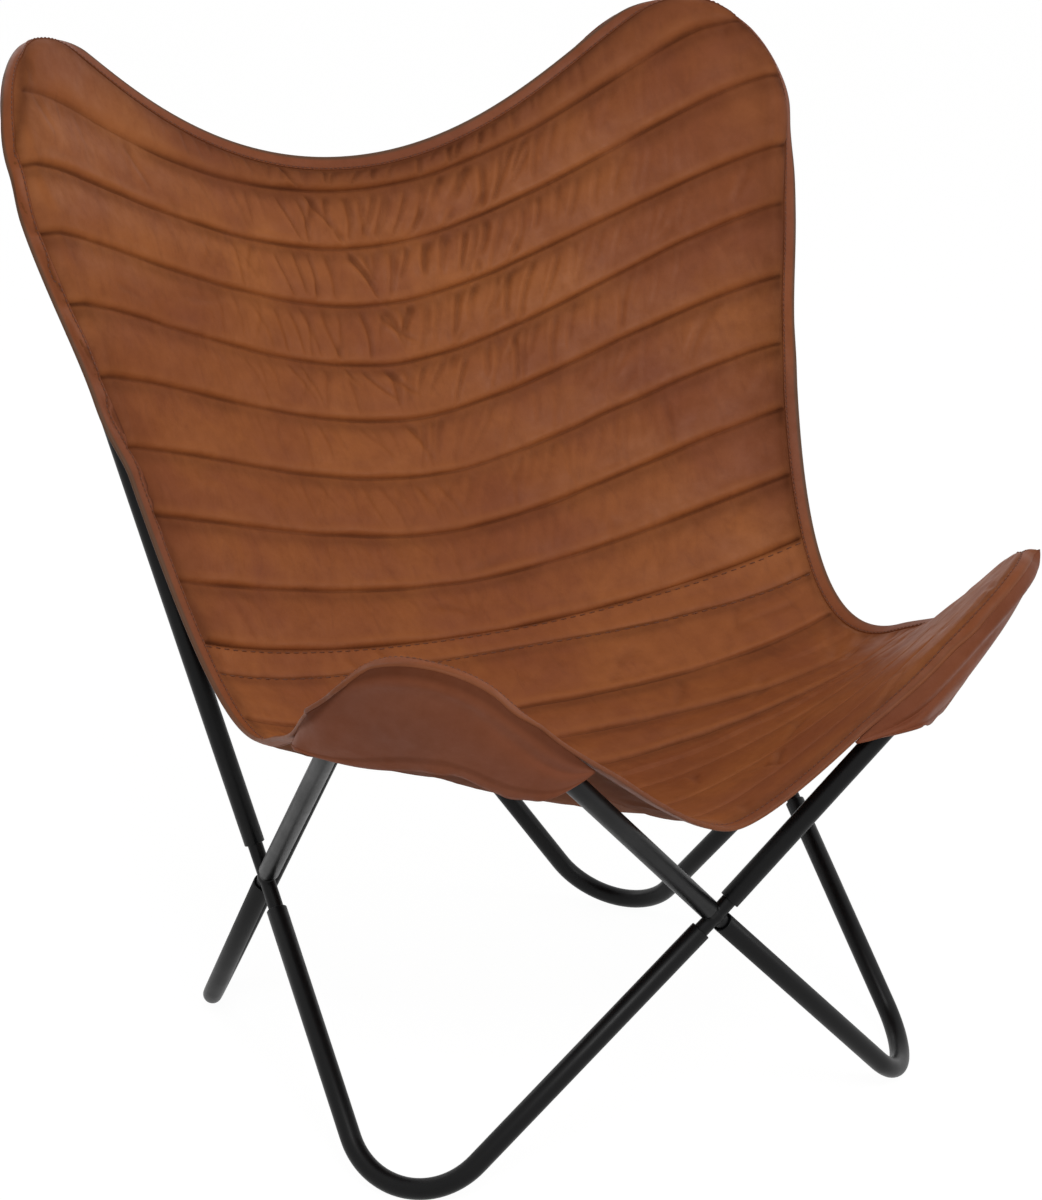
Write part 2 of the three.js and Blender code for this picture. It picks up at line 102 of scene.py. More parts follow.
# The sling's middle line, seen from the side
TOP_EDGE_SAG = 127 * MM
TOP_EDGE_BEHIND_JOINT = 64 * MM
BACK_HOLLOW = 45 * MM
BACK_DROP = 142 * MM
SEAT_PULL = 270 * MM
SEAT_ABOVE_JOINT = 78 * MM
SEAT_LOW_AHEAD = 145 * MM
FRONT_EDGE_PULL = 62 * MM
FRONT_EDGE_DIP = 10 * MM
FRONT_EDGE_AHEAD = 27 * MM
FRONT_EDGE_ABOVE = 86 * MM

# The sling's free edges
TOP_RIM_PULL = 55 * MM
TOP_MIDDLE_PULL = 173 * MM
FRONT_RIM_PULL = 100 * MM
FRONT_MIDDLE_PULL = 45 * MM
SIDE_BACK_PULL = 300 * MM
SIDE_HORN_PULL = 210 * MM
SIDE_LEAVES_BACK = 436 * MM
SIDE_MEETS_HORN = 330 * MM
TOP_CORNER_ANGLE = -math.radians(5)
TOP_LEAVES_ANGLE = math.radians(14)
FRONT_CORNER_ANGLE = math.radians(20)
FRONT_LEAVES_ANGLE = -math.radians(60)
SEAT_SIDE_ANGLE = math.radians(26)

# Seams: places along the middle line and along the side edge, back to front
SEAM_MIDDLE_SHARES = (
    0, 0.034, 0.095, 0.157, 0.222, 0.283, 0.347, 0.412, 0.471,
    0.533, 0.556, 0.634, 0.685, 0.74, 0.805, 0.87, 0.935, 1,
)
SEAM_EDGE_SHARES = (
    0, 0.065, 0.13, 0.2, 0.258, 0.33, 0.396, 0.458, 0.522,
    0.585, 0.62, 0.67, 0.74, 0.79, 0.84, 0.89, 0.945, 1,
)
LEFT_SEAMS_LOWER = (
    0, 0.026, 0.028, 0.017, 0.024, 0.019, 0.017, 0.015, 0.011,
    0.006, 0, 0, 0, 0, 0, 0, 0, 0,
)
BAND_TOP_SEAM = 9
BAND_LOW_SEAM = 10
CORNER_FADE_STRIPS = 3
MIDDLE_PULL_SHARE = 0.9
EDGE_PULL_SHARE = 0.9

# How far the sling's rim bends round the tubes: (how far down a leg, turn), from the bend onward
QUARTER_TURN = math.radians(90)
WRAP_REACH = 60 * MM
WRAP_LIFT = 27 * MM
SHOULDER_ANGLES = math.radians(8), math.radians(40)
BACK_TURN_EASE = 70 * MM
BACK_TURN_SHARES = 0.06, 0.5
HORN_SIDE_TURNS = (-90 * MM, QUARTER_TURN), (80 * MM, math.radians(28)), (170 * MM, 0)
HORN_FRONT_TURNS = (-20 * MM, QUARTER_TURN), (45 * MM, math.radians(22)), (150 * MM, 0)

# The back's outer rims: reach at the bend's end, reach on the leg, and how far down that is
LEFT_RIM_REACHES = 25 * MM, 29 * MM, 0.22
RIGHT_RIM_REACHES = 32 * MM, 24 * MM, 0.5

# Their turns at the bend's end, on the leg and where the rim leaves the tube
LEFT_RIM_TURNS = math.radians(62), math.radians(55), math.radians(38)
RIGHT_RIM_TURNS = math.radians(75), math.radians(34), math.radians(30)

# The fine grid over the sling, and the lines that it hangs on
HALF_COLUMNS = 210
ROWS_BETWEEN = 15
AFTER_SEAM = tuple(step * MM for step in (0.5, 1, 1.6, 2.4, 3.6, 6))
BEFORE_SEAM = tuple(step * MM for step in (10, 6.5, 4.6, 3.5, 2.7, 2, 1.3, 0.6))
LEG_STEPS = 30
EDGE_STEPS = 80
TIP_STEPS = 60
BEZIER_STEPS = 160
NOISE_CELLS = 128

# A seam: the strip above ends in a folded ridge, and the stitches pull a groove below it
RIDGE_HEIGHT = 1.5 * MM
RIDGE_ABOVE = 4.4 * MM
RIDGE_WIDTH = 4.2 * MM
GROOVE_DEPTH = 1.2 * MM
GROOVE_BELOW = 0.6 * MM
GROOVE_WIDTH = 1.4 * MM
# How far below a seam its painted shade lies
SHADE_BELOW = 7 * MM
SEAM_WOBBLE = 0.8 * MM
SEAM_WOBBLE_WAVE = 38 * MM
SEAM_PULL_WAVE = 45 * MM
RIDGE_WAVE = 25 * MM
FAINT_SEAM = 13.5
FAINT_SHARE = 0.3
HORN_STARTS = 215 * MM
HORN_SMOOTH = 300 * MM
# Painted shade: evenly over the sling's underside, and on the back's lobes toward their rims
UNDERSIDE_SHADE = 0.6
LOBE_SHADE = 0.22

# Unevenness between the seams: heights, and wavelengths across and along the sling
SWELL_WAVE = 60 * MM
PUCKER_HEIGHT = 0.35 * MM
PUCKER_WAVE = 7 * MM
WAVE_HEIGHT = 0.7 * MM
WAVE_ACROSS = 34 * MM
WAVE_ALONG = 60 * MM
DRAG_HEIGHT = 0.6 * MM
DRAG_ACROSS = 30 * MM
DRAG_ALONG = 170 * MM

# Placed creases: millimetres from the middle line and from the top edge, degrees, length, depth
# share, width
FOLD_DEPTH = 4.6 * MM
FOLD_SIDE_SHARE = 0.55
PLACED_FOLD_SHARE = 0.65
FOLDS = (
    (-70, 18, -38, 46, 1.1, 2.6), (-44, 52, -34, 52, 1.2, 2.6), (-22, 92, -26, 54, 1.2, 2.8),
    (-4, 132, -20, 50, 1.2, 3), (8, 172, -12, 46, 1.1, 2.8), (24, 60, 28, 44, 0.9, 2.4),
    (52, 74, 38, 40, 0.9, 2.6), (84, 92, 34, 52, 1, 2.8), (118, 84, 40, 48, 0.9, 2.6),
    (96, 150, 30, 56, 1, 3), (140, 140, 42, 50, 0.9, 2.8), (64, 212, 36, 54, 0.9, 3),
    (124, 214, 40, 58, 0.9, 3), (-52, 208, -24, 50, 0.8, 3), (170, 60, 46, 46, 0.8, 2.6),
    (-34, 1116, -40, 60, 1, 4), (-16, 1122, -20, 54, 1, 4), (0, 1124, 0, 50, 1, 4),
    (16, 1122, 20, 54, 1, 4), (34, 1116, 40, 60, 1, 4), (168, 1050, 12, 70, 0.9, 4.5),
    (186, 1042, 16, 64, 0.9, 4.5), (204, 1034, 20, 58, 0.8, 4.5), (300, 640, 58, 90, 0.8, 5),
    (336, 668, 64, 84, 0.8, 5), (350, 720, 60, 80, 0.7, 5), (-300, 640, -58, 90, 0.7, 5),
    (-330, 690, -62, 84, 0.7, 5), (104, 836, 34, 62, 0.9, 4), (88, 852, -12, 40, 0.8, 3.5),
    (152, 782, 48, 60, 0.8, 4.5), (58, 776, 22, 42, 0.8, 4), (184, 906, 58, 84, 0.6, 5),
    (-70, 900, -32, 62, 0.6, 5), (30, 910, 12, 52, 0.6, 5), (-120, 790, -40, 56, 0.6, 4),
)

# Creases that hang from the back's seams: between which places, how far apart, where strongest
HANGING_FROM = -230 * MM
HANGING_TO = 330 * MM
HANGING_APART = 10 * MM, 24 * MM
HANGING_MIDDLE = 50 * MM
HANGING_SPREAD = 175 * MM
HANGING_LEFT_OF = 5 * MM
HANGING_BELOW_SEAM = 2 * MM
HANGING_DROP = 5 * MM
HANGING_WIDTHS = 2.2 * MM, 3.8 * MM
HANGING_STRIP_SHARES = 1, 1.1, 1.1, 1, 0.7, 0.45, 0.3, 0.2, 0.15

# Soft creases all over the sling
SOFT_FOLD_COUNT = 80
SOFT_FOLD_ACROSS = 420 * MM
SOFT_FOLD_ALONG = 20 * MM, 1050 * MM
SOFT_FOLD_LENGTHS = 30 * MM, 90 * MM
SOFT_FOLD_WIDTH = 5 * MM

# The hem along the sling's free edges: its section as (share of the width, share of the thickness),
# and how light its cut edge is from front to back
HEM_WIDTH = 11 * MM
HEM_THICKNESS = 0.8 * MM
HEM_STEP = 4 * MM
HEM_PROFILE = (
    (1, 0.1), (1, 0.9), (0.93, 1), (0.86, 0.72), (0.78, 1), (0.6, 1.25), (0.4, 1.25), (0.2, 1.1),
)
HEM_SEAM_RING = 3
HEM_ROLL_STEPS = 9
HEM_BLUR_ROUNDS = 4
CUT_EDGE_STOPS = (-150 * MM, 0.2), (50 * MM, 0.8)

# Corner pockets: their rims' ends, how loosely they hang, and how deep their edges are tucked in
POCKET_THICKNESS = 2 * MM
POCKET_UNDER = TUBE_RADIUS + FIT_GAP + POCKET_THICKNESS / 2
POCKET_ROWS = 46
POCKET_COLUMNS = 110
POCKET_SMOOTHING = 40, 16, 6
HORN_RIM_UP = -60 * MM
LEFT_HORN_RIM_ENDS = -122 * MM
RIGHT_HORN_RIM_ENDS = -140 * MM
BACK_RIM_UP = -125 * MM
BACK_RIM_ENDS = 104 * MM
HORN_SLACK = 14 * MM
BACK_SLACK = 7 * MM
EDGE_DROP = 1.2 * MM
END_DROP = 1.4 * MM
EDGE_TUCK = 0.8 * MM
END_TUCK = 3.2 * MM
HEM_DROP = 2 * MM
HELD_REACHES = 14 * MM, 34 * MM
CLEAR_ANGLE = math.radians(12)
CLEAR_SHARE = 1.6
LEAST_REACH = 0.1 * MM
POCKET_WAVE = 2.6 * MM, 60 * MM
POCKET_RIPPLE = 1.2 * MM, 24 * MM
POCKET_HEM_SWELL = 0.6 * MM

# A pocket's section round the tube: how far in from its edge, how far toward the hem, and how low
POCKET_STOPS = (
    (-1 * MM, 0, 7 * MM),
    (5 * MM, 0, 0.97 * POCKET_UNDER),
    (12 * MM, 5 * MM, POCKET_UNDER + 0.4 * MM),
)

# Pocket hems: places across, up and over the plane of the tube's bend
LEFT_HORN_HEM = np.array([
    (112, -45, -20), (60, -48, -25), (8, -38, -28), (-24, -41, -28), (-50, -61, -26), (-74, -70, -23),
    (-94, -69, -19),
]) * MM
RIGHT_HORN_HEM = np.array([
    (112, -45, -20), (60, -48, -25), (8, -38, -28), (-24, -43, -28), (-54, -64, -27), (-82, -70, -24),
    (-112, -66, -18),
]) * MM
BACK_HEM = np.array([(-95, -128, -13), (-30, -118, -19), (34, -94, -19), (80, -52, -14)]) * MM

# The pinched tip
PINCH_ANGLE = math.radians(16)
PINCH_WIDTH = 15 * MM
PINCH_LENGTH = 11 * MM
PINCH_NARROW = 5 * MM
PINCH_SHARE = 0.75

# Stitches: their section as (share of the length, share of the radius, share of the height)
STITCH_LENGTH = 6 * MM
STITCH_GAP = 3.5 * MM
HEM_STITCH_LENGTH = 3.4 * MM
HEM_STITCH_GAP = 1.6 * MM
STITCH_RADIUS = 0.55 * MM
STITCH_SIDES = 6
STITCH_PROFILE = (
    (-0.5, 0.3, -0.5), (-0.42, 0.85, 0.15), (-0.15, 1, 0.6),
    (0.15, 1, 0.6), (0.42, 0.85, 0.15), (0.5, 0.3, -0.5),
)
BAND_STITCH_BELOW = 2.4 * MM

# Colours
STEEL_BLACK = 0x0A0A0B
STEEL_WORN = 0x161617
TAN = 0x8C4C26
# TAN_LIGHT is a lighter tone in the leather's clouds and the colour of the sling's painted highlight;
# SEAM_SHADOW is the colour of the painted shade
TAN_LIGHT = 0xA4602F
TAN_RED = 0x7C3F28
TAN_DEEP = 0x6A3417
SEAM_SHADOW = 0x431E0B
CUT_EDGE = 0x55402F
# Darker tans for the pockets' outer faces, which hold painted shade as they face away from the lamps; the
# hem takes the lighter one too
OUTER_TAN_SHADED = 0x82472A
OUTER_DEEP_SHADED = 0x743D24
THREAD = 0x5C331C
FLOOR_PALE = 0xF2F1EF

# Patterns in the materials: how many to the metre, how stretched, and how high as a bump
CLOUD_SCALE = 6
WARM_SCALE = 11
STREAK_SCALE = 26
STREAK_STRETCH = 2.4, 0.9, 0.9
CREASE_SCALE = 38
CREASE_STRETCH = 2, 0.8, 0.8
CREASE_BUMP = 0.6 * MM
MOTTLE_SCALE = 60
MOTTLE_BUMP = 0.5 * MM
CELL_SCALE = 650
PORE_SCALE = 900
PORE_BUMP = 0.25 * MM
WEAR_SCALE = 35
PEEL_SCALE = 900
PEEL_BUMP = 0.1 * MM
TWIST_SCALE = 1400
TWIST_BUMP = 0.15 * MM

# Studio: each lamp's place, the height that it points at, its width and its power in watts
LAMPS = {
    "key": ((-1.0, -2.6, 2.9), 0.5, 1.1, 46),
    "side": ((2.2, -1.8, 1.6), 0.5, 1.2, 13),
    "rear": ((-0.8, 2.6, 2.2), 0.6, 1.2, 10),
}
AMBIENT = 0.36
WHITE = (1, 1, 1, 1)
FLOOR_HALF = 30.0
FLOOR_ROUGHNESS = 0.9
FLOOR_GLOW = 1.06
FLOOR_GLOW_SHARE = 0.91

# Camera, in the same frame as the chair; its lens and sensor in millimetres
CAMERA_PLACE = (-1295.9 * MM, -2325.3 * MM, 1240.3 * MM)
CAMERA_AIM = (0, -15.6 * MM, 475.65 * MM)
CAMERA_LENS = 93.77
CAMERA_SENSOR = 36
CAMERA_SHIFT = (-0.0187, -0.0471)
CAMERA_SEES = 50.0


# Vectors and lines

def place(spot):
    """A spot of the tables above, moved so that the chair stands at the middle of its box."""
    x, y, z = spot
    return np.array([x, y - BOX_MIDDLE_Y, z], float)


def unit(vectors):
    """Vectors of length one; the last axis holds x, y and z."""
    return vectors / np.maximum(np.linalg.norm(vectors, axis=-1, keepdims=True), TINY)


def mirrored(points):
    return points * np.array([-1, 1, 1])


def smoothstep(value, low, high):
    share = np.clip((value - low) / (high - low), 0, 1)
    return share * share * (3 - 2 * share)


def bell(value, centre, width):
    return np.exp(-(((value - centre) / width) ** 2))


def eased(value, *stops):
    """A value that eases from stop to stop; each stop is (place, value)."""
    found = np.full(np.shape(value), float(stops[0][1]))
    for (start, before), (end, after) in zip(stops, stops[1:]):
        found = found + (after - before) * smoothstep(value, start, end)
    return found


def reached(points):
    """How far places lie from the first one, along a line or along each column of a grid."""
    steps = np.linalg.norm(np.diff(points, axis=0), axis=-1)
    return np.concatenate([np.zeros_like(steps[:1]), np.cumsum(steps, axis=0)])


def read_at(far, stops, table):
    """Rows of a table, read off between its stops."""
    return np.stack([np.interp(far, stops, column) for column in table.T], -1)


def evenly_spaced(points, count):
    """A line's places at an even spacing, and how far along it they lie."""
    stops = reached(points)
    far = np.linspace(0, stops[-1], count)
    return read_at(far, stops, points), far


def bezier(a, b, c, d):
    t = np.linspace(0, 1, BEZIER_STEPS)[:, None]
    rest = 1 - t
    return rest**3 * a + 3 * rest**2 * t * b + 3 * rest * t**2 * c + t**3 * d


def catmull(controls, steps):
    """A smooth line through control points; controls run along the first axis."""
    first = 2 * controls[0] - controls[1]
    last = 2 * controls[-1] - controls[-2]
    run = np.concatenate([first[None], controls, last[None]])
    found = []
    for t in np.linspace(0, len(controls) - 1, steps):
        i = min(int(t), len(controls) - 2)
        f = t - i
        a, b, c, d = run[i:i + 4]
        cubic = (2 * a - 5 * b + 4 * c - d) * f**2 + (3 * b - a - 3 * c + d) * f**3
        found.append(0.5 * (2 * b + (c - a) * f + cubic))
    return np.array(found)


# Bent tubes

class BentLine:
    """A straight leg, a round bend and a second straight leg, in one plane."""

    def __init__(self, first, corner, second, radius):
        self.first = first
        self.second = second
        self.radius = radius
        self.to_first = unit(first - corner)
        self.to_second = unit(second - corner)
        self.inward = unit(self.to_first + self.to_second)
        self.across = unit(self.to_second - self.to_first)
        self.facing = np.cross(self.inward, self.across)
        self.half_angle = math.acos(self.to_first @ self.to_second) / 2
        self.half_turn = math.pi / 2 - self.half_angle
        self.centre = corner + self.inward * radius / math.sin(self.half_angle)

    def on_bend(self, angles, reach=0, lift=0):
        angles = np.asarray(angles, float)[..., None]
        radius = self.radius + reach
        return (
            self.centre
            - self.inward * radius * np.cos(angles)
            + self.across * radius * np.sin(angles)
            + self.facing * lift
        )

    def on_leg(self, side, from_joint, reach, lift):
        """A place on the first leg (side -1) or the second one (side 1)."""
        joint, toward = (self.first, self.to_first) if side < 0 else (self.second, self.to_second)
        outward = unit(self.inward - toward * math.cos(self.half_angle))
        return joint - toward * from_joint - outward * reach + self.facing * lift

    def bend_from_joint(self, side):
        joint = self.first if side < 0 else self.second
        return np.linalg.norm(joint - self.on_bend(side * self.half_turn))

    def flat(self, points):
        """Across, up and lift of points, in the plane of the bend."""
        away = points - self.centre
        return away @ self.across, -(away @ self.inward), away @ self.facing

    def unflat(self, across, up, lift):
        return (
            self.centre
            + self.across * np.asarray(across)[..., None]
            - self.inward * np.asarray(up)[..., None]
            + self.facing * np.asarray(lift)[..., None]
        )

    def beside(self, across, up):
        """How far places lie outside the centre line, which way is outward, and how far down a leg.

        Down a leg counts from the bend's end, and is below zero on the bend.
        """
        angle = np.arctan2(across, up)
        on_arc = np.abs(angle) <= self.half_turn
        side = np.where(across < 0, -1.0, 1.0)
        start_x = side * self.radius * math.sin(self.half_turn)
        start_y = self.radius * math.cos(self.half_turn)
        out_x = side * math.cos(self.half_angle)
        out_y = math.sin(self.half_angle)
        leg_reach = (across - start_x) * out_x + (up - start_y) * out_y
        along = (across - start_x) * side * out_y - (up - start_y) * math.cos(self.half_angle)
        length = np.maximum(np.hypot(across, up), MM)
        reach = np.where(on_arc, length - self.radius, leg_reach)
        out_x = np.where(on_arc, across / length, out_x)
        out_y = np.where(on_arc, up / length, out_y)
        return reach, out_x, out_y, np.where(on_arc, (np.abs(angle) - self.half_turn) * self.radius, along)


def foot_line(corner, other_joint):
    """A foot's corner lies below the floor, so deep that its bend reaches the floor."""
    corner = place(corner)
    for _ in range(SETTLE_ROUNDS):
        line = BentLine(side_joint, corner, other_joint, FOOT_BEND_RADIUS)
        lowest = line.centre[2] - line.radius * math.hypot(*line.facing[:2]) - TUBE_RADIUS
        corner = corner - np.array([0, 0, lowest + FOOT_FLAT_DEPTH])
    return line


side_joint = place(SIDE_JOINT)
front_joint = place(FRONT_JOINT)
rear_joint = place(REAR_JOINT)
front_foot = foot_line(FRONT_FOOT, front_joint)
rear_foot = foot_line(REAR_FOOT, rear_joint)
horn = BentLine(front_joint, place(HORN_CORNER), side_joint, HORN_BEND_RADIUS)
back = BentLine(side_joint, place(BACK_CORNER), rear_joint, BACK_BEND_RADIUS)


# Meshes

def grid_faces(rows, columns, wrap_rows=False, wrap_columns=False):
    """Four-cornered faces over a grid of vertices numbered row by row."""
    numbers = np.arange(rows * columns).reshape(rows, columns)
    if wrap_rows:
        numbers = np.vstack([numbers, numbers[:1]])
    if wrap_columns:
        numbers = np.hstack([numbers, numbers[:, :1]])
    a, b = numbers[:-1, :-1], numbers[1:, :-1]
    c, d = numbers[1:, 1:], numbers[:-1, 1:]
    return np.stack([a, b, c, d], -1).reshape(-1, 4)


def loop_of(grid):
    """The rim of a grid, once round: first row, last column, last row, first column."""
    return np.concatenate([grid[0, :-1], grid[:-1, -1], grid[-1, :0:-1], grid[:0:-1, 0]])


def slab_faces(rows, columns):
    """Faces of a closed slab: an upper grid, a lower one of the same size, and the rim."""
    count = rows * columns
    upper = grid_faces(rows, columns)
    rim = loop_of(np.arange(count).reshape(rows, columns))
    after = np.roll(rim, -1)
    wall = np.stack([rim, after, after + count, rim + count], -1)
    return np.concatenate([upper, upper[:, ::-1] + count, wall])


def linked(name, data):
    """A new object in the scene."""
    item = bpy.data.objects.new(name, data)
    bpy.context.scene.collection.objects.link(item)
    return item


def piece(name, points, faces, material, nodes=(), marks=None):
    """A smooth-shaded mesh that rides on the chair and stands for CAD nodes."""
    mesh = bpy.data.meshes.new(name)
    mesh.from_pydata(points.reshape(-1, 3).tolist(), [], faces.tolist())
    for title, values in (marks or {}).items():
        layer = mesh.attributes.new(title, "FLOAT", "POINT")
        layer.data.foreach_set("value", np.ascontiguousarray(values, np.float32).ravel())
    return dressed(name, mesh, material, nodes)


def dressed(name, mesh, material, nodes):
    shell = bmesh.new()
    shell.from_mesh(mesh)
    bmesh.ops.recalc_face_normals(shell, faces=shell.faces)
    shell.to_mesh(mesh)
    shell.free()
    mesh.shade_smooth()
    mesh.materials.append(material)
    item = linked(name, mesh)
    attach(item, "root")
    if nodes:
        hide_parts(*nodes)
    return item


# Materials

def srgb(code):
    """A colour written as 0xRRGGBB, as linear values."""
    parts = [((code >> shift) & 255) / 255 for shift in (16, 8, 0)]
    return tuple(c / 12.92 if c <= 0.04045 else ((c + 0.055) / 1.055) ** 2.4 for c in parts) + (1,)


class Shader:
    """A material's node tree, with short ways to add to it."""

    def __init__(self, name):
        self.material = bpy.data.materials.new(name)
        self.material.use_nodes = True
        self.tree = self.material.node_tree
        self.surface = self.tree.nodes["Principled BSDF"]
        self.where = self.node("ShaderNodeTexCoord").outputs["Object"]

    def node(self, kind, inputs=None, **settings):
        made = self.tree.nodes.new(kind)
        for key, value in settings.items():
            setattr(made, key, value)
        for key, value in (inputs or {}).items():
            self.put(made.inputs[key], value)
        return made

    def put(self, socket, value):
        if isinstance(value, bpy.types.NodeSocket):
            self.tree.links.new(value, socket)
        else:
            socket.default_value = value

    def stretched(self, scale):
        return self.node("ShaderNodeMapping", {"Vector": self.where, "Scale": scale}).outputs[0]

    def noise(self, scale, detail=4, roughness=0.5, distortion=0, vector=None, kind="FBM"):
        return self.node("ShaderNodeTexNoise", {
            "Vector": vector or self.where,
            "Scale": scale,
            "Detail": detail,
            "Roughness": roughness,
            "Distortion": distortion,
        }, noise_type=kind).outputs["Fac"]

    def cells(self, scale):
        inputs = {"Vector": self.where, "Scale": scale}
        return self.node("ShaderNodeTexVoronoi", inputs, feature="SMOOTH_F1").outputs["Distance"]

    def mark(self, title):
        return self.node("ShaderNodeAttribute", attribute_name=title).outputs["Fac"]

    def spread(self, value, low, high, to_low=0, to_high=1):
        return self.node("ShaderNodeMapRange", {
            "Value": value, "From Min": low, "From Max": high, "To Min": to_low, "To Max": to_high,
        }).outputs[0]

    def maths(self, operation, a, b):
        return self.node("ShaderNodeMath", {0: a, 1: b}, operation=operation).outputs[0]

    def mix(self, share, a, b):
        """Two colours mixed; a mix node's colour sockets are numbers 6 and 7, and its result 2."""
        return self.node("ShaderNodeMix", {0: share, 6: a, 7: b}, data_type="RGBA").outputs[2]

    def bump(self, height, strength, distance, below=None):
        inputs = {"Height": height, "Strength": strength, "Distance": distance}
        if below:
            inputs["Normal"] = below
        return self.node("ShaderNodeBump", inputs).outputs[0]

    def finish(self, colour, roughness, normal, specular):
        self.put(self.surface.inputs["Base Color"], colour)
        self.put(self.surface.inputs["Roughness"], roughness)
        self.put(self.surface.inputs["Normal"], normal)
        self.put(self.surface.inputs["Specular IOR Level"], specular)
        return self.material


def leather(name, light, plain, wax=0.52, patches=1.0, fold=TAN_LIGHT):
    """Waxed leather: cloudy colour, painted shade, a second colour by the fold mark, fine grain and
    shallow creases.
    """
    shader = Shader(name)
    mottle = shader.noise(MOTTLE_SCALE, 6, 0.65)
    streaks = shader.noise(STREAK_SCALE, 6, 0.6, 1.2, shader.stretched(STREAK_STRETCH))
    colour = srgb(plain)
    for pattern, low, high, most, tint in (
        (shader.noise(CLOUD_SCALE, 3), 0.38, 0.66, 1, light),
        (shader.noise(WARM_SCALE, 4, 0.6, 0.6), 0.46, 0.74, 0.5 * patches, TAN_RED),
        (streaks, 0.5, 0.8, 0.35 * patches, TAN_DEEP),
        (mottle, 0.35, 0.75, 0.3, TAN_DEEP),
    ):
        colour = shader.mix(shader.spread(pattern, low, high, 0, most), colour, srgb(tint))
    # The fold mark paints a highlight on the sling's ridges and crease sides; on the hem it gives the cut
    # edge's own colour
    colour = shader.mix(shader.mark("fold"), colour, srgb(fold))
    # This mark paints shade: at seams and creases, just inside the hems, on the back's lobes, under the
    # sling and on the pockets
    colour = shader.mix(shader.mark("groove_and_painted_shade"), colour, srgb(SEAM_SHADOW))
    gloss = shader.spread(mottle, 0.3, 0.7, wax - 0.05, wax + 0.09)
    dull = shader.maths("MULTIPLY", shader.mark("groove_and_painted_shade"), 0.5)
    wrinkled = shader.stretched(CREASE_STRETCH)
    creases = shader.noise(CREASE_SCALE, 5, 0.55, 0.8, wrinkled, "RIDGED_MULTIFRACTAL")
    pores = shader.maths("MULTIPLY", shader.cells(CELL_SCALE), shader.noise(PORE_SCALE, 3))
    normal = shader.bump(creases, 0.22, CREASE_BUMP)
    normal = shader.bump(mottle, 0.3, MOTTLE_BUMP, normal)
    normal = shader.bump(pores, 0.25, PORE_BUMP, normal)
    return shader.finish(colour, shader.maths("ADD", gloss, dull), normal, 0.22)


def powder_coat():
    """Black satin powder coat: a faint orange peel, and a trace of wear."""
    shader = Shader("powder_coat_black")
    wear = shader.noise(WEAR_SCALE, 6, 0.7)
    worn = shader.spread(wear, 0.55, 0.8, 0, 0.5)
    colour = shader.mix(worn, srgb(STEEL_BLACK), srgb(STEEL_WORN))
    peel = shader.bump(shader.noise(PEEL_SCALE, 2), 0.2, PEEL_BUMP)
    return shader.finish(colour, shader.spread(wear, 0.3, 0.7, 0.34, 0.46), peel, 0.17)


def thread_finish():
    shader = Shader("waxed_thread")
    twist = shader.noise(TWIST_SCALE, 2)
    colour = shader.mix(shader.spread(twist, 0.35, 0.65), srgb(THREAD), srgb(TAN_DEEP))
    return shader.finish(colour, 0.6, shader.bump(twist, 0.4, TWIST_BUMP), 0.5)


coat = powder_coat()
thread = thread_finish()
sling_leather = leather("leather_sling", TAN_LIGHT, TAN)
hem_leather = leather("leather_hem", TAN, OUTER_TAN_SHADED, patches=0.6, fold=CUT_EDGE)
# The pockets' leather: the sling's leather darkened with painted shade
pocket_leather = leather("leather_pocket", OUTER_TAN_SHADED, OUTER_DEEP_SHADED, wax=0.56, patches=0.6)


# The frame

def tube_points(line, first_gap, second_gap):
    """Rings along the outside of a bent tube and back along its bore."""
    bore = TUBE_RADIUS - TUBE_WALL
    start = line.first - line.to_first * first_gap
    end = line.second - line.to_second * second_gap
    inset = TUBE_END_CHAMFER
    angles = np.linspace(-line.half_turn, line.half_turn, BEND_STEPS)
    bend = [(line.on_bend(a), line.inward * math.sin(a) + line.across * math.cos(a)) for a in angles]
    outside = [
        (start, -line.to_first, TUBE_RADIUS - inset),
        (start - line.to_first * inset, -line.to_first, TUBE_RADIUS),
        *[(spot, tangent, TUBE_RADIUS) for spot, tangent in bend],
        (end - line.to_second * inset, line.to_second, TUBE_RADIUS),
        (end, line.to_second, TUBE_RADIUS - inset),
    ]
    inside = [
        (end, line.to_second, bore),
        *[(spot, tangent, bore) for spot, tangent in bend[::-BORE_STEP]],
        (start, -line.to_first, bore),
    ]
    turn = np.linspace(0, 2 * math.pi, TUBE_SIDES, endpoint=False)[:, None]
    rings = [
        spot + radius * (np.cos(turn) * np.cross(line.facing, tangent) + np.sin(turn) * line.facing)
        for spot, tangent, radius in outside + inside
    ]
    points = np.array(rings)
    points[..., 2] = np.maximum(points[..., 2], 0)
    return points


def tube(name, line, first_gap, second_gap, flip):
    points = tube_points(line, first_gap, second_gap)
    faces = grid_faces(points.shape[0], points.shape[1], wrap_rows=True, wrap_columns=True)
    piece("steel_" + name, mirrored(points) if flip else points, faces, coat, [name])


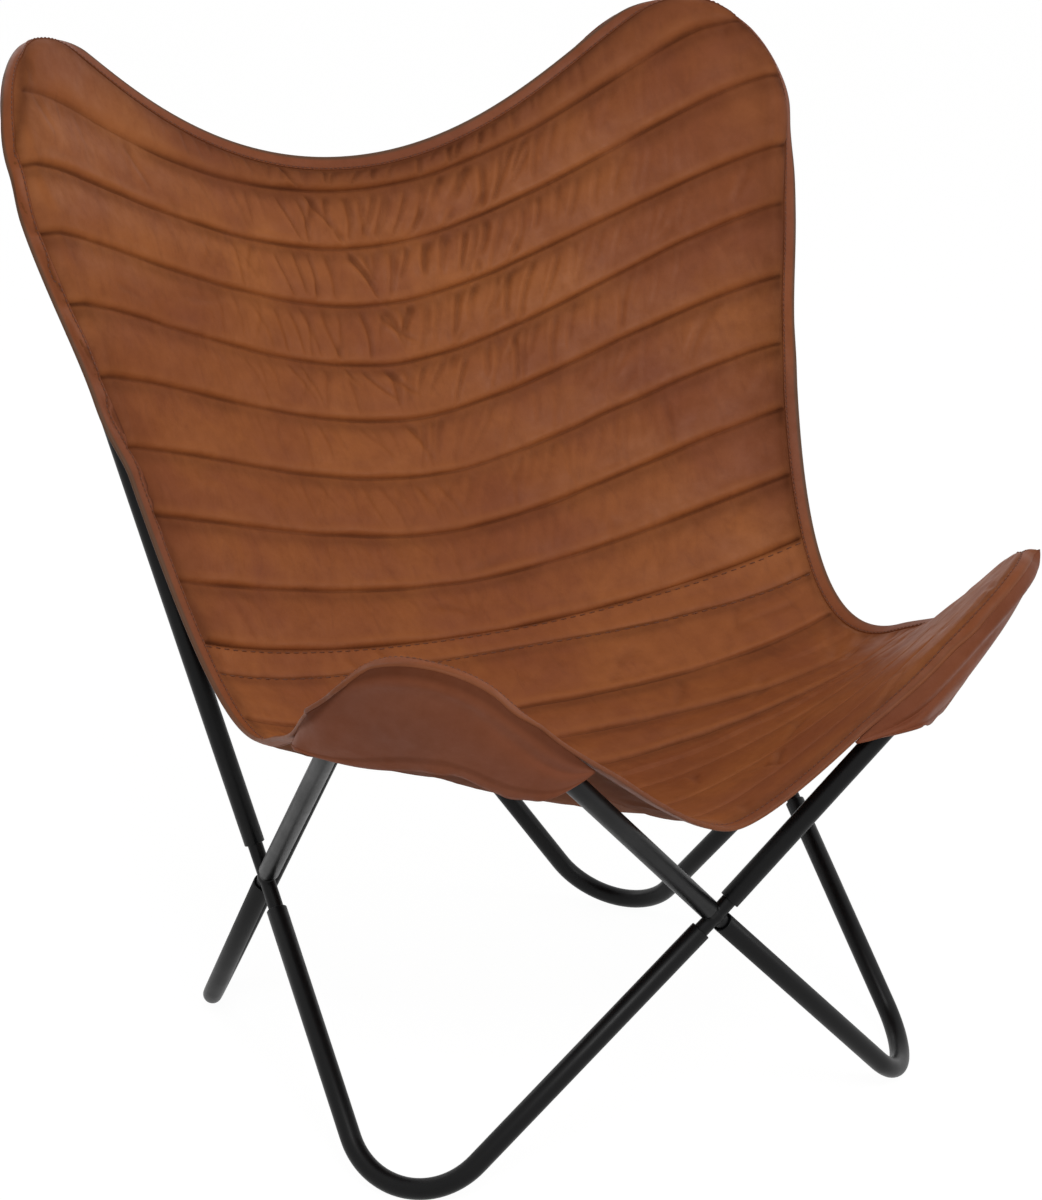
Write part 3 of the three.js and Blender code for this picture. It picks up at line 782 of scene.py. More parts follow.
def cross(name, joint, spigots, flip=False):
    """Four round spigots grown into one casting, with filled corners."""
    radius = TUBE_RADIUS - TUBE_WALL - SPIGOT_CLEARANCE
    shell = bmesh.new()
    bmesh.ops.create_icosphere(shell, subdivisions=3, radius=radius + WELD_SWELL)
    bmesh.ops.translate(shell, verts=shell.verts, vec=Vector(joint))
    for direction, neck in spigots:
        length = neck + SPIGOT_REACH
        rod = bmesh.ops.create_cone(
            shell, cap_ends=True, segments=TUBE_SIDES, radius1=radius, radius2=radius, depth=length,
        )["verts"]
        turn = Vector(direction).to_track_quat("Z", "Y").to_matrix()
        bmesh.ops.rotate(shell, verts=rod, matrix=turn, cent=(0, 0, 0))
        bmesh.ops.translate(shell, verts=rod, vec=Vector(joint + direction * length / 2))
    if flip:
        bmesh.ops.scale(shell, verts=shell.verts, vec=(-1, 1, 1))
        bmesh.ops.reverse_faces(shell, faces=shell.faces)
    rough = bpy.data.meshes.new(name + "_rough")
    shell.to_mesh(rough)
    shell.free()
    holder = linked(name + "_rough", rough)
    remesh = holder.modifiers.new("remesh", "REMESH")
    remesh.mode = "VOXEL"
    remesh.voxel_size = JOINT_VOXEL
    smooth = holder.modifiers.new("smooth", "SMOOTH")
    smooth.iterations = WELD_SMOOTH_ROUNDS
    smooth.factor = 0.5
    whole = holder.evaluated_get(bpy.context.evaluated_depsgraph_get())
    mesh = bpy.data.meshes.new_from_object(whole)
    bpy.data.objects.remove(holder)
    dressed("steel_" + name, mesh, coat, [name])


for side, flip in (("left", False), ("right", True)):
    front_foot_gap = STUB_NECK if flip else THROUGH_NECK
    horn_gap = THROUGH_NECK if flip else STUB_NECK
    tube("foot_tube_front_" + side, front_foot, SIDE_THROUGH_NECK, front_foot_gap, flip)
    tube("foot_tube_rear_" + side, rear_foot, STUB_NECK, REAR_LOWER_NECK, flip)
    tube("horn_tube_front_" + side, horn, horn_gap, HORN_NECK, flip)
    tube("back_tube_" + side, back, SIDE_THROUGH_NECK, REAR_UPPER_NECK, flip)
    cross("cross_joint_" + side, side_joint, [
        (-front_foot.to_first, SIDE_THROUGH_NECK),
        (-back.to_first, SIDE_THROUGH_NECK),
        (-rear_foot.to_first, STUB_NECK),
        (-horn.to_second, HORN_NECK),
    ], flip)
cross("cross_joint_front", front_joint, [
    (-front_foot.to_second, THROUGH_NECK),
    (mirrored(-horn.to_first), THROUGH_NECK),
    (mirrored(-front_foot.to_second), STUB_NECK),
    (-horn.to_first, STUB_NECK),
])
cross("cross_joint_rear", rear_joint, [
    (-rear_foot.to_second, REAR_LOWER_NECK),
    (mirrored(-rear_foot.to_second), REAR_LOWER_NECK),
    (-back.to_second, REAR_UPPER_NECK),
    (mirrored(-back.to_second), REAR_UPPER_NECK),
])


# The sling's surface

class Path:
    """Stretches one after another, found by their share of the whole length."""

    def __init__(self, *stretches):
        self.points = np.concatenate([stretches[0], *[s[1:] for s in stretches[1:]]])
        self.reached = reached(self.points)
        self.length = self.reached[-1]
        ends = np.cumsum([len(s) - (n > 0) for n, s in enumerate(stretches)]) - 1
        self.shares = self.reached[ends] / self.length

    def at(self, shares):
        return read_at(np.asarray(shares, float) * self.length, self.reached, self.points)


def middle_path():
    top = np.array([
        0, rear_joint[1] + TOP_EDGE_BEHIND_JOINT, back.on_bend(0)[2] - TOP_EDGE_SAG,
    ])
    low = np.array([0, side_joint[1] - SEAT_LOW_AHEAD, side_joint[2] + SEAT_ABOVE_JOINT])
    front = np.array([0, front_joint[1] - FRONT_EDGE_AHEAD, front_joint[2] + FRONT_EDGE_ABOVE])
    hollow = top - np.array([0, BACK_HOLLOW, BACK_DROP])
    ahead = np.array([0, FRONT_EDGE_PULL, 0])
    return Path(
        bezier(top, hollow, low + np.array([0, SEAT_PULL, 0]), low),
        bezier(low, low - ahead, front + ahead - np.array([0, 0, FRONT_EDGE_DIP]), front),
    )


def leg_stretch(line, side, stops):
    """Along a leg, with the reach easing from one (distance from the joint, reach) to the next."""
    places = []
    for (start, start_reach), (end, end_reach) in zip(stops, stops[1:]):
        for share in np.linspace(0, 1, LEG_STEPS):
            reach = start_reach + (end_reach - start_reach) * smoothstep(share, 0, 1)
            places.append(line.on_leg(side, start + (end - start) * share, reach, PANEL_LIFT))
    return np.array(places)


def on_rim(line, angles, reaches):
    return line.on_bend(angles, reaches[:, None], PANEL_LIFT)


def side_path(bend_end_reach, leg_reach, leg_share):
    """The left edge: round the top bend, down the back leg, free past the seat, up to the horn."""
    bend_end = back.bend_from_joint(-1)
    horn_bend_end = horn.bend_from_joint(1)
    top = np.linspace(TOP_CORNER_ANGLE, -back.half_turn, EDGE_STEPS)
    tip = np.linspace(horn.half_turn, FRONT_CORNER_ANGLE, TIP_STEPS)
    widens = back.half_turn - BACK_RIM_WIDENS_OVER
    top_reach = eased(-top, (widens, BACK_RIM_REACH), (back.half_turn, bend_end_reach))
    tip_reach = eased(
        tip, (HORN_RIM_WIDENS_FROM, RIM_REACH), (horn.half_turn, HORN_BEND_END_REACH),
    )
    down = leg_stretch(back, -1, (
        (bend_end, bend_end_reach),
        (bend_end - leg_share * (bend_end - SIDE_LEAVES_BACK), leg_reach),
        (SIDE_LEAVES_BACK, LOWER_RIM_REACH),
    ))
    up = leg_stretch(horn, 1, (
        (SIDE_MEETS_HORN, HORN_LEG_REACH),
        (SIDE_MEETS_HORN + HORN_WIDE_SHARE * (horn_bend_end - SIDE_MEETS_HORN), HORN_WIDE_REACH),
        (horn_bend_end, HORN_BEND_END_REACH),
    ))
    free = bezier(
        down[-1],
        down[-1] + back.to_first * SIDE_BACK_PULL,
        up[0] + horn.to_second * SIDE_HORN_PULL,
        up[0],
    )
    return Path(
        np.concatenate([on_rim(back, top, top_reach), down[1:]]),
        free,
        np.concatenate([up, on_rim(horn, tip, tip_reach)[1:]]),
    )


def cross_path(line, leaves_angle, corner_angle, corner_reach, middle, rim_pull, middle_pull):
    """From the middle of a free cross edge to the bend that it joins, then round that bend."""
    around = np.linspace(leaves_angle, corner_angle, EDGE_STEPS)
    reaches = eased(-around, (-leaves_angle, RIM_REACH), (-corner_angle, corner_reach))
    leaves = line.on_bend(leaves_angle, RIM_REACH, PANEL_LIFT)
    onward = line.inward * math.sin(abs(leaves_angle))
    onward = onward + line.across * math.copysign(math.cos(leaves_angle), leaves_angle)
    inside = middle - np.array([middle_pull, 0, 0])
    return Path(
        bezier(middle, inside, leaves + onward * rim_pull, leaves),
        on_rim(line, around, reaches),
    )


middle = middle_path()
left_edge = side_path(*LEFT_RIM_REACHES)
right_edge = side_path(*RIGHT_RIM_REACHES)
top_edge = cross_path(
    back, TOP_LEAVES_ANGLE, TOP_CORNER_ANGLE, BACK_RIM_REACH,
    middle.at(0), TOP_RIM_PULL, TOP_MIDDLE_PULL,
)
front_edge = cross_path(
    horn, FRONT_LEAVES_ANGLE, FRONT_CORNER_ANGLE, RIM_REACH,
    middle.at(1), FRONT_RIM_PULL, FRONT_MIDDLE_PULL,
)
LAST_ROW = len(SEAM_MIDDLE_SHARES) - 1
STRIPS = np.arange(LAST_ROW + 1)
STRIP_WIDTHS = np.diff(SEAM_MIDDLE_SHARES) * middle.length


def plain_rows(rows, s, side_edge, seam_ends):
    """Rows of the plain sling, from the middle line (s = 0) to the left edge (s = 1)."""
    edge_share = np.interp(rows, STRIPS, seam_ends)
    middles = middle.at(np.interp(rows, STRIPS, SEAM_MIDDLE_SHARES))[:, None]
    edges = side_edge.at(edge_share)[:, None]
    leaves, meets = side_edge.shares[0], side_edge.shares[1]
    turn = np.clip((edge_share - leaves) / (meets - leaves), 0, 1)[:, None, None]
    span = np.linalg.norm(middles - edges, axis=-1, keepdims=True)
    rise = edges[..., 2:] - middles[..., 2:]
    seat_side = np.array([-math.cos(SEAT_SIDE_ANGLE), 0, math.sin(SEAT_SIDE_ANGLE)])
    horn_side = unit(horn.across - horn.inward)
    back_up = unit(np.array([0, 0, 1]) - back.facing * back.facing[2])
    rest = 1 - turn
    end = -back.across * rest**2 + seat_side * 2 * turn * rest + horn_side * turn**2
    end = end * EDGE_PULL_SHARE * span + back_up * rise * rest**2
    s = s[None, :, None]
    return (
        middles * (2 * s**3 - 3 * s**2 + 1)
        + np.array([-1, 0, 0]) * (s**3 - 2 * s**2 + s) * MIDDLE_PULL_SHARE * span
        + edges * (3 * s**2 - 2 * s**3)
        + end * (s**3 - s**2)
    )


def half_sling(rows, s, *ends):
    """The left half: its end rows follow the top and front edges, and the next few ease off them."""
    places = plain_rows(rows, s, *ends)
    top = smoothstep(CORNER_FADE_STRIPS - rows, 0, CORNER_FADE_STRIPS)[:, None, None]
    front = smoothstep(rows - LAST_ROW + CORNER_FADE_STRIPS, 0, CORNER_FADE_STRIPS)[:, None, None]
    places = places + top * (top_edge.at(s) - plain_rows(np.array([0.0]), s, *ends))
    return places + front * (front_edge.at(s) - plain_rows(np.array([float(LAST_ROW)]), s, *ends))


# Where the sling lies on a tube, its rim is drawn down round it.

def drawn_round(line, points, most_turn, *turns):
    """Points beyond the tube's centre line bend down round it, by at most an angle that varies."""
    across, up, lift = line.flat(points)
    reach, out_x, out_y, far = line.beside(across, up)
    near = (reach > 0) & (np.abs(lift - PANEL_LIFT) < WRAP_LIFT) & (reach < WRAP_REACH)
    angle = np.minimum(reach / PANEL_LIFT, most_turn(np.arctan2(across, up), far, *turns))
    beyond = reach - PANEL_LIFT * angle
    inward = (PANEL_LIFT * np.sin(angle) + beyond * np.cos(angle) - reach) * near
    down = (PANEL_LIFT * (np.cos(angle) - 1) - beyond * np.sin(angle)) * near
    return line.unflat(across + out_x * inward, up + out_y * inward, lift + down)


def back_turn(angle, far, bend_end_turn, leg_turn, leaves_turn):
    """A quarter turn from the lobe's inner shoulder to its outer leg, and less down the leg."""
    leg = back.bend_from_joint(-1) - SIDE_LEAVES_BACK
    near_share, far_share = BACK_TURN_SHARES
    return (1 - smoothstep(angle, *SHOULDER_ANGLES)) * eased(
        far, (-BACK_TURN_EASE, QUARTER_TURN), (near_share * leg, bend_end_turn),
        (far_share * leg, leg_turn), (leg, leaves_turn), (leg + BACK_TURN_EASE, 0),
    )


def horn_turn(angle, far):
    """A quarter turn round the horn's tip, and less down both legs."""
    return np.where(angle > 0, eased(far, *HORN_SIDE_TURNS), eased(far, *HORN_FRONT_TURNS))


def draped(rows, s, side_edge, seam_ends, turns):
    places = drawn_round(back, half_sling(rows, s, side_edge, seam_ends), back_turn, *turns)
    return drawn_round(horn, places, horn_turn)


def both_sides(rows, s):
    """Columns run from the left edge to the right one; the left side's seams end a little lower."""
    left_ends = np.array(SEAM_EDGE_SHARES) + LEFT_SEAMS_LOWER
    left = draped(rows, s, left_edge, left_ends, LEFT_RIM_TURNS)
    right = draped(rows, s, right_edge, SEAM_EDGE_SHARES, RIGHT_RIM_TURNS)
    return np.concatenate([left[:, ::-1], mirrored(right)[:, 1:]], axis=1)


def fine_rows():
    """Rows close together beside each seam, and wider over the strips."""
    rows = []
    for strip, width in enumerate(STRIP_WIDTHS):
        after = [strip + step / width for step in AFTER_SEAM]
        before = [strip + 1 - step / width for step in BEFORE_SEAM]
        between = np.linspace(after[-1], before[0], ROWS_BETWEEN + 2)[1:-1]
        rows += [strip, *after, *between, *before]
    return np.array([*rows, LAST_ROW], float)


def normals_of(grid):
    """Unit normals toward the sitter, blurred so that the folded-up corners take their neighbours'."""
    normals = np.cross(np.gradient(grid, axis=0), np.gradient(grid, axis=1))
    for _ in range(3):
        padded = np.pad(normals, ((1, 1), (1, 1), (0, 0)), mode="edge")
        normals = sum(
            padded[i:i + normals.shape[0], j:j + normals.shape[1]]
            for i in range(3) for j in range(3)
        ) / 9
    return unit(normals)


# Creases

def soft_noise(x, y, seed):
    """Smooth noise from -1 to 1 over cells of size one."""
    table = np.random.default_rng(seed).uniform(-1, 1, (NOISE_CELLS, NOISE_CELLS))
    left, low = np.floor(x).astype(int), np.floor(y).astype(int)
    fx, fy = (f * f * f * (f * (f * 6 - 15) + 10) for f in (x - left, y - low))
    columns = left % NOISE_CELLS, (left + 1) % NOISE_CELLS
    lower, upper = (
        table[columns[0], row % NOISE_CELLS] * (1 - fx) + table[columns[1], row % NOISE_CELLS] * fx
        for row in (low, low + 1)
    )
    return lower * (1 - fy) + upper * fy


def stroke(x, y, fold):
    """One crease, deepest near its upper end: its furrow, and the swelling along one side."""
    centre_x, centre_y, lean, length, depth, width = fold
    run_x, run_y = math.sin(lean), -math.cos(lean)
    near = (np.abs(x - centre_x) < length) & (np.abs(y - centre_y) < length)
    found = np.zeros((2, *x.shape))
    away_x, away_y = x[near] - centre_x, y[near] - centre_y
    bow = 0.07 * length * math.sin(37 * centre_x / MM)
    far = (away_x * run_x + away_y * run_y) / (length / 2)
    beside = away_x * run_y - away_y * run_x + bow * (1 - far**2)
    wide = width * (0.85 + 0.25 * np.clip(far, -1, 1))
    fading = smoothstep(1 - np.abs(far), 0, 0.45) * (0.7 + 0.3 * np.clip(far, -1, 1)) * depth
    found[0][near] = bell(beside, 0, wide) * fading
    found[1][near] = bell(beside, 1.9 * wide, 1.3 * wide) * fading
    return found


def hanging_folds(seed):
    """Creases that hang from each seam of the back, strongest right of its middle."""
    chance = np.random.default_rng(seed)
    folds = []
    for strip, strip_share in enumerate(HANGING_STRIP_SHARES):
        top, bottom = (SEAM_MIDDLE_SHARES[strip + k] * middle.length for k in (0, 1))
        x = HANGING_FROM
        while x < HANGING_TO:
            x += chance.uniform(*HANGING_APART)
            lean = chance.normal(26, 9) if x > HANGING_LEFT_OF else chance.normal(-6, 20)
            lean = math.radians(lean)
            length = chance.uniform(0.6, 1.15) * (bottom - top)
            below = HANGING_BELOW_SEAM + chance.uniform(0, HANGING_DROP)
            spot_y = top + 0.5 * length * math.cos(lean) + below
            spot_x = x - 0.5 * length * math.sin(lean)
            depth = chance.uniform(0.4, 1.2) * strip_share * bell(x, HANGING_MIDDLE, HANGING_SPREAD)
            folds.append((spot_x, spot_y, lean, length, depth, chance.uniform(*HANGING_WIDTHS)))
    for _ in range(SOFT_FOLD_COUNT):
        x = chance.uniform(-SOFT_FOLD_ACROSS, SOFT_FOLD_ACROSS)
        y = chance.uniform(*SOFT_FOLD_ALONG)
        lean = math.radians(chance.normal(50 if x > 0 else -50, 25))
        length = chance.uniform(*SOFT_FOLD_LENGTHS)
        folds.append((x, y, lean, length, chance.uniform(0.1, 0.4), SOFT_FOLD_WIDTH))
    return folds


def creases(x, y, share):
    """How deep all creases are and how high they swell beside, fading out toward the seams."""
    folds = [
        (cx * MM, cy * MM, math.radians(lean), length * MM, PLACED_FOLD_SHARE * depth, wide * MM)
        for cx, cy, lean, length, depth, wide in FOLDS
    ]
    found = sum(stroke(x, y, fold) for fold in folds + hanging_folds(19))
    inside = smoothstep(share, 0.02, 0.14) * (1 - smoothstep(share, 0.8, 1))
    return np.tanh(found) * inside[:, None]


def relief(rows, x, y):
    """Height over the plain sheet, with its painted shade in and below the seams and in the creases, and
    its painted highlight on the ridges and beside the creases.
    """
    strip = np.clip(rows.astype(int), 0, LAST_ROW - 1)
    share = rows - strip
    seam = np.round(rows)
    by_row = rows[:, None]
    by_seam = seam[:, None] + 0 * x
    from_seam = ((rows - seam) * STRIP_WIDTHS[strip])[:, None]
    from_seam = from_seam + SEAM_WOBBLE * soft_noise(x / SEAM_WOBBLE_WAVE, 3.7 * by_seam, 61)
    on_horn = smoothstep(np.abs(x), HORN_STARTS, HORN_SMOOTH) * (by_row > BAND_LOW_SEAM + 1.5)
    lively = 1 - on_horn
    strength = np.where((seam > 0) & (seam < LAST_ROW), 1, 0) * np.where(seam > FAINT_SEAM, FAINT_SHARE, 1)
    strength = strength[:, None] * (0.1 + 0.9 * lively)
    strength = strength * (0.85 + 0.3 * soft_noise(x / SEAM_PULL_WAVE, 5.1 * by_seam, 63))
    on_band = (strip == BAND_TOP_SEAM)[:, None]
    groove_and_painted_shade = bell(from_seam, GROOVE_BELOW, GROOVE_WIDTH) * strength
    ridge = bell(from_seam, -RIDGE_ABOVE, RIDGE_WIDTH) * strength * np.where(on_band, 0.5, 1)
    painted_shade_below_seam = bell(from_seam, SHADE_BELOW, SHADE_BELOW) * strength * np.where(on_band, 0, 1)
    inner = np.sin(math.pi * share**1.45)[:, None] ** 0.75 * np.where(on_band, 0.12, 1)
    swell = STRIP_SWELL * inner * (0.3 + 0.7 * lively) * np.where(by_row > FAINT_SEAM, 0.4, 1)

    lines, sides = creases(x, y, share)
    puckers = soft_noise(x / PUCKER_WAVE, by_row * 1.5, 71) * bell(inner, 0.25, 0.3)
    waves = soft_noise(x / WAVE_ACROSS, y / WAVE_ALONG, 83) * inner
    drags = soft_noise((x - y * np.sign(x)) / DRAG_ACROSS, (x + y) / DRAG_ALONG, 87) * inner
    height = (
        swell * (1 + 0.2 * soft_noise(x / SWELL_WAVE, by_row, 91))
        + RIDGE_HEIGHT * ridge * (1 + 0.25 * soft_noise(x / RIDGE_WAVE, by_row, 97))
        - GROOVE_DEPTH * groove_and_painted_shade
        - FOLD_DEPTH * (lines - FOLD_SIDE_SHARE * sides)
        + PUCKER_HEIGHT * puckers
        + WAVE_HEIGHT * waves
        + DRAG_HEIGHT * drags
    )
    # Painted shade in and below the seam grooves and in the crease furrows; painted highlight on the
    # ridges above the seams and beside the creases
    dark = np.clip(0.45 * groove_and_painted_shade + 0.3 * painted_shade_below_seam + 0.5 * lines, 0, 0.7)
    light = np.clip(0.4 * ridge + 0.45 * sides, 0, 0.6)
    return height, dark, light


rows = fine_rows()
sheet_grid = both_sides(rows, np.linspace(0, 1, HALF_COLUMNS + 1))
sheet_normals = normals_of(sheet_grid)

# Distances over the sheet: from the middle line, from the top edge, and from the nearest free edge
sideways = reached(sheet_grid.swapaxes(0, 1)).T
sideways = sideways - sideways[:, HALF_COLUMNS:HALF_COLUMNS + 1]
lengthways = np.interp(rows, STRIPS, np.array(SEAM_MIDDLE_SHARES) * middle.length)[:, None]
lengthways = np.broadcast_to(lengthways, sideways.shape)
from_side = sideways[:, -1:] - np.abs(sideways)
from_top = reached(sheet_grid)
from_edge = np.minimum(from_side, np.minimum(from_top, from_top[-1:] - from_top))

# Relief and its marks stop at the hem; painted shade lies just inside the hem, and on the back's lobes
# toward their rims
inside_hem = smoothstep(from_edge, HEM_WIDTH, 1.5 * HEM_WIDTH)
painted_shade_beside_hem = bell(from_edge, 1.2 * HEM_WIDTH, 0.6 * HEM_WIDTH)
lobe_shade = 1 - smoothstep(from_edge, HEM_WIDTH, 6 * HEM_WIDTH)
lobe_shade = LOBE_SHADE * lobe_shade * (rows < BAND_TOP_SEAM)[:, None]
height, painted_shade, painted_highlight = (found * inside_hem for found in relief(rows, sideways, lengthways))
painted_shade = np.clip(painted_shade + 0.3 * painted_shade_beside_hem + lobe_shade, 0, 0.8)
upper_face = sheet_grid + sheet_normals * (PANEL_THICKNESS / 2 + height)[..., None]
lower_face = sheet_grid + sheet_normals * (0.7 * height - PANEL_THICKNESS / 2)[..., None]


# The right horn's corner ends in a small pinched tip.
pinch_spot = mirrored(horn.on_bend(PINCH_ANGLE, TUBE_RADIUS))
pinch_way = mirrored(horn.on_bend(PINCH_ANGLE, 1) - horn.on_bend(PINCH_ANGLE))
pinch_side = np.cross(mirrored(horn.facing), pinch_way)


def pinched(points):
    away = points - pinch_spot
    far = np.linalg.norm(away, axis=-1, keepdims=True)
    beside = (away @ pinch_side)[..., None]
    squeezed = bell(far, 0, PINCH_WIDTH) * PINCH_SHARE * beside * pinch_side
    drawn_out = np.exp(-far / PINCH_NARROW) * PINCH_LENGTH * pinch_way
    return points + drawn_out - squeezed


def panel(name, first_seam, last_seam):
    """The rows of the sling between two seams, as one closed slab."""
    kept = np.flatnonzero((rows >= first_seam) & (rows <= last_seam))
    points = pinched(np.stack([upper_face[kept], lower_face[kept]]))
    faces = slab_faces(len(kept), points.shape[2])
    marks = {
        # Upper face: the relief's painted shade and highlight; lower face: an even painted shade
        "groove_and_painted_shade": np.stack([painted_shade[kept], np.full_like(painted_shade[kept], UNDERSIDE_SHADE)]),
        "fold": np.stack([painted_highlight[kept], painted_highlight[kept] * 0]),
    }
    return piece("leather_" + name, points, faces, sling_leather, [name], marks)


back_panel = panel("back_panel", 0, BAND_TOP_SEAM)
join_band = panel("join_band", BAND_TOP_SEAM, BAND_LOW_SEAM)
seat_panel = panel("seat_panel", BAND_LOW_SEAM, LAST_ROW)


# Hems

def closed(points):
    return np.concatenate([points, points[:1]])


def spaced(points, step):
    """A closed line's places at an even spacing, as fractions of its vertices."""
    stops = reached(closed(points))
    count = int(round(stops[-1] / step))
    return np.interp(np.arange(count) * stops[-1] / count, stops, np.arange(len(stops)))


def read_round(table, fractions):
    return read_at(fractions, np.arange(len(table) + 1), closed(table))


def blurred(values, rounds):
    for _ in range(rounds):
        values = (np.roll(values, 1, axis=0) + values * 2 + np.roll(values, -1, axis=0)) / 4
    return values


def pressed(edge, inward, up, far, rise, tree):
    """Places on a face of the sling, this far in from its edge and this high over it."""
    found = []
    for spot, outward, high in zip(edge + inward * far, up, rise):
        hit = tree.find_nearest(Vector(spot + outward * PANEL_THICKNESS / 2))
        found.append(np.array(hit[0]) + outward * high)
    return np.array(found)


def hem_rings(edge, inward, up, height):
    """Rings over the upper face, round the cut edge and back under the lower face."""
    faces = grid_faces(*sheet_grid.shape[:2]).tolist()
    sides = []
    for way, face in ((up, upper_face), (-up, lower_face)):
        tree = BVHTree.FromPolygons(face.reshape(-1, 3).tolist(), faces)
        sides.append([
            pressed(edge, inward, way, share * HEM_WIDTH, rise * height, tree)
            for share, rise in HEM_PROFILE
        ])
    top = PANEL_THICKNESS / 2 + HEM_THICKNESS
    turns = np.linspace(0, math.pi, HEM_ROLL_STEPS)
    roll = [edge + top * (up * math.cos(turn) - inward * math.sin(turn)) for turn in turns]
    return np.array([*sides[0], *roll, *sides[1][::-1]])


def hem():
    """A folded strip that wraps the sling's edge all the way round."""
    fractions = spaced(loop_of(sheet_grid), HEM_STEP)
    edge = read_round(loop_of(sheet_grid), fractions)
    up = unit(blurred(read_round(loop_of(sheet_normals), fractions), HEM_BLUR_ROUNDS))
    inward = unit(np.cross(np.roll(edge, -1, axis=0) - np.roll(edge, 1, axis=0), up))
    ripple = soft_noise(np.arange(len(edge)) / 3, np.zeros(len(edge)), 7)
    points = pinched(hem_rings(edge, inward, up, HEM_THICKNESS * (1 + 0.12 * ripple)))
    painted_hem_shade, cut_edge = np.zeros((2, *points.shape[:2]))
    # Painted shade along the hem's inner edge on top, and in its stitch groove on both faces
    painted_hem_shade[[0, 1, HEM_SEAM_RING, -1 - HEM_SEAM_RING]] = 0.5
    cut_edge[len(HEM_PROFILE):-len(HEM_PROFILE)] = eased(edge[:, 1], *CUT_EDGE_STOPS)
    faces = grid_faces(*points.shape[:2], wrap_rows=True, wrap_columns=True)
    nodes = ["edge_binding_" + side for side in ("top", "front", "left", "right")]
    marks = {"groove_and_painted_shade": painted_hem_shade, "fold": cut_edge}
    made = piece("leather_edge_hem", points, faces, hem_leather, nodes, marks)
    return made, points[HEM_SEAM_RING], up


edge_hem, hem_seam, hem_up = hem()


# Stitches

def stitches(name, line, ups, slot, length=STITCH_LENGTH, gap=STITCH_GAP):
    """A row of short stitches that dip into the leather at both ends."""
    stops = reached(line)
    count = int(stops[-1] // (length + gap))
    starts = (np.arange(count) + 0.5) * stops[-1] / count
    normal = read_at(starts, stops, ups)
    before, after = (read_at(starts + far, stops, line) for far in (-length / 2, length / 2))
    beside = np.cross(unit(after - before), normal)
    turn = np.linspace(0, 2 * math.pi, STITCH_SIDES, endpoint=False)[:, None]
    outward = STITCH_RADIUS * (np.cos(turn) * beside[:, None] + np.sin(turn) * normal[:, None])
    rings = []
    for share, wide, high in STITCH_PROFILE:
        spot = read_at(starts + share * length, stops, line) + normal * high * STITCH_RADIUS
        rings.append(spot[:, None] + wide * outward)
    rounds = len(STITCH_PROFILE)
    caps = np.array([[0, 1, 2, 3], [0, 3, 4, 5]])
    one = np.concatenate([
        grid_faces(rounds, STITCH_SIDES, wrap_columns=True), caps, caps + (rounds - 1) * STITCH_SIDES,
    ])
    faces = one[None] + (np.arange(count) * rounds * STITCH_SIDES)[:, None, None]
    return piece(name, np.stack(rings, 1), faces.reshape(-1, 4), thread)


def seam_line(seam, below):
    """A line across the sling at a distance below a seam, inside the hems."""
    number = int(np.argmin(np.abs(rows - seam - below / STRIP_WIDTHS[seam])))
    kept = from_side[number] > HEM_WIDTH
    return upper_face[number][kept], sheet_normals[number][kept]


hem_stitches = stitches(
    "thread_hem", closed(hem_seam), closed(hem_up), "binding_leather", HEM_STITCH_LENGTH, HEM_STITCH_GAP,
)
band_stitches = [
    stitches(name, *seam_line(seam, BAND_STITCH_BELOW), "panel_leather")
    for seam, name in ((BAND_TOP_SEAM, "thread_band_top"), (BAND_LOW_SEAM, "thread_band_low"))
]


# Flat sizes: the smooth sheet without its creases and swellings, laid out

def laid_out(grid):
    """Greatest width and length along a grid's lines, and its area."""
    width = np.linalg.norm(np.diff(grid, axis=1), axis=-1).sum(axis=1).max()
    length = np.linalg.norm(np.diff(grid, axis=0), axis=-1).sum(axis=0).max()
    first = grid[1:, 1:] - grid[:-1, :-1]
    second = grid[1:, :-1] - grid[:-1, 1:]
    area = 0.5 * np.linalg.norm(np.cross(first, second), axis=-1).sum()
    return (float(width), float(length)), float(area)


# Corner pockets: an outer sheet sewn to the sling's edge goes round the tube and ends in a free hem

def pocket_rim(line, grid, side_up, cross_row, cross_across):
    """The sling's left edge from a height in the bend's plane to the corner, then the cross edge."""
    side = grid[:, 0]
    cross_edge = grid[cross_row, 1:HALF_COLUMNS]
    ending = 1 + int(np.argmin(np.abs(line.flat(cross_edge)[0] - cross_across)))
    start = int(np.argmin(np.abs(line.flat(side)[1] - side_up)))
    to_corner = side[:start + 1][::-1] if cross_row == 0 else side[start:]
    return np.concatenate([to_corner, cross_edge[:ending]])


def clear_of_tube(line, places):
    """Places inside a tube, or over it, go round below it."""
    across, up, lift = places[..., 0], places[..., 1], places[..., 2]
    reach, out_x, out_y, _ = line.beside(across, up)
    away = np.hypot(reach, lift)
    turn = np.minimum(np.arctan2(lift, np.maximum(reach, LEAST_REACH)), CLEAR_ANGLE)
    length = np.maximum(away, POCKET_UNDER)
    close = (reach > 0) & (away < CLEAR_SHARE * POCKET_UNDER)
    push = np.where(close, length * np.cos(turn), reach) - reach
    new_lift = np.where(close, length * np.sin(turn), lift)
    below = -np.sqrt(np.maximum(POCKET_UNDER**2 - reach**2, 0))
    over = (reach <= 0) & (reach > -POCKET_UNDER)
    new_lift = np.where(over, np.minimum(lift, below), new_lift)
    return np.stack([across + out_x * push, up + out_y * push, new_lift], -1)


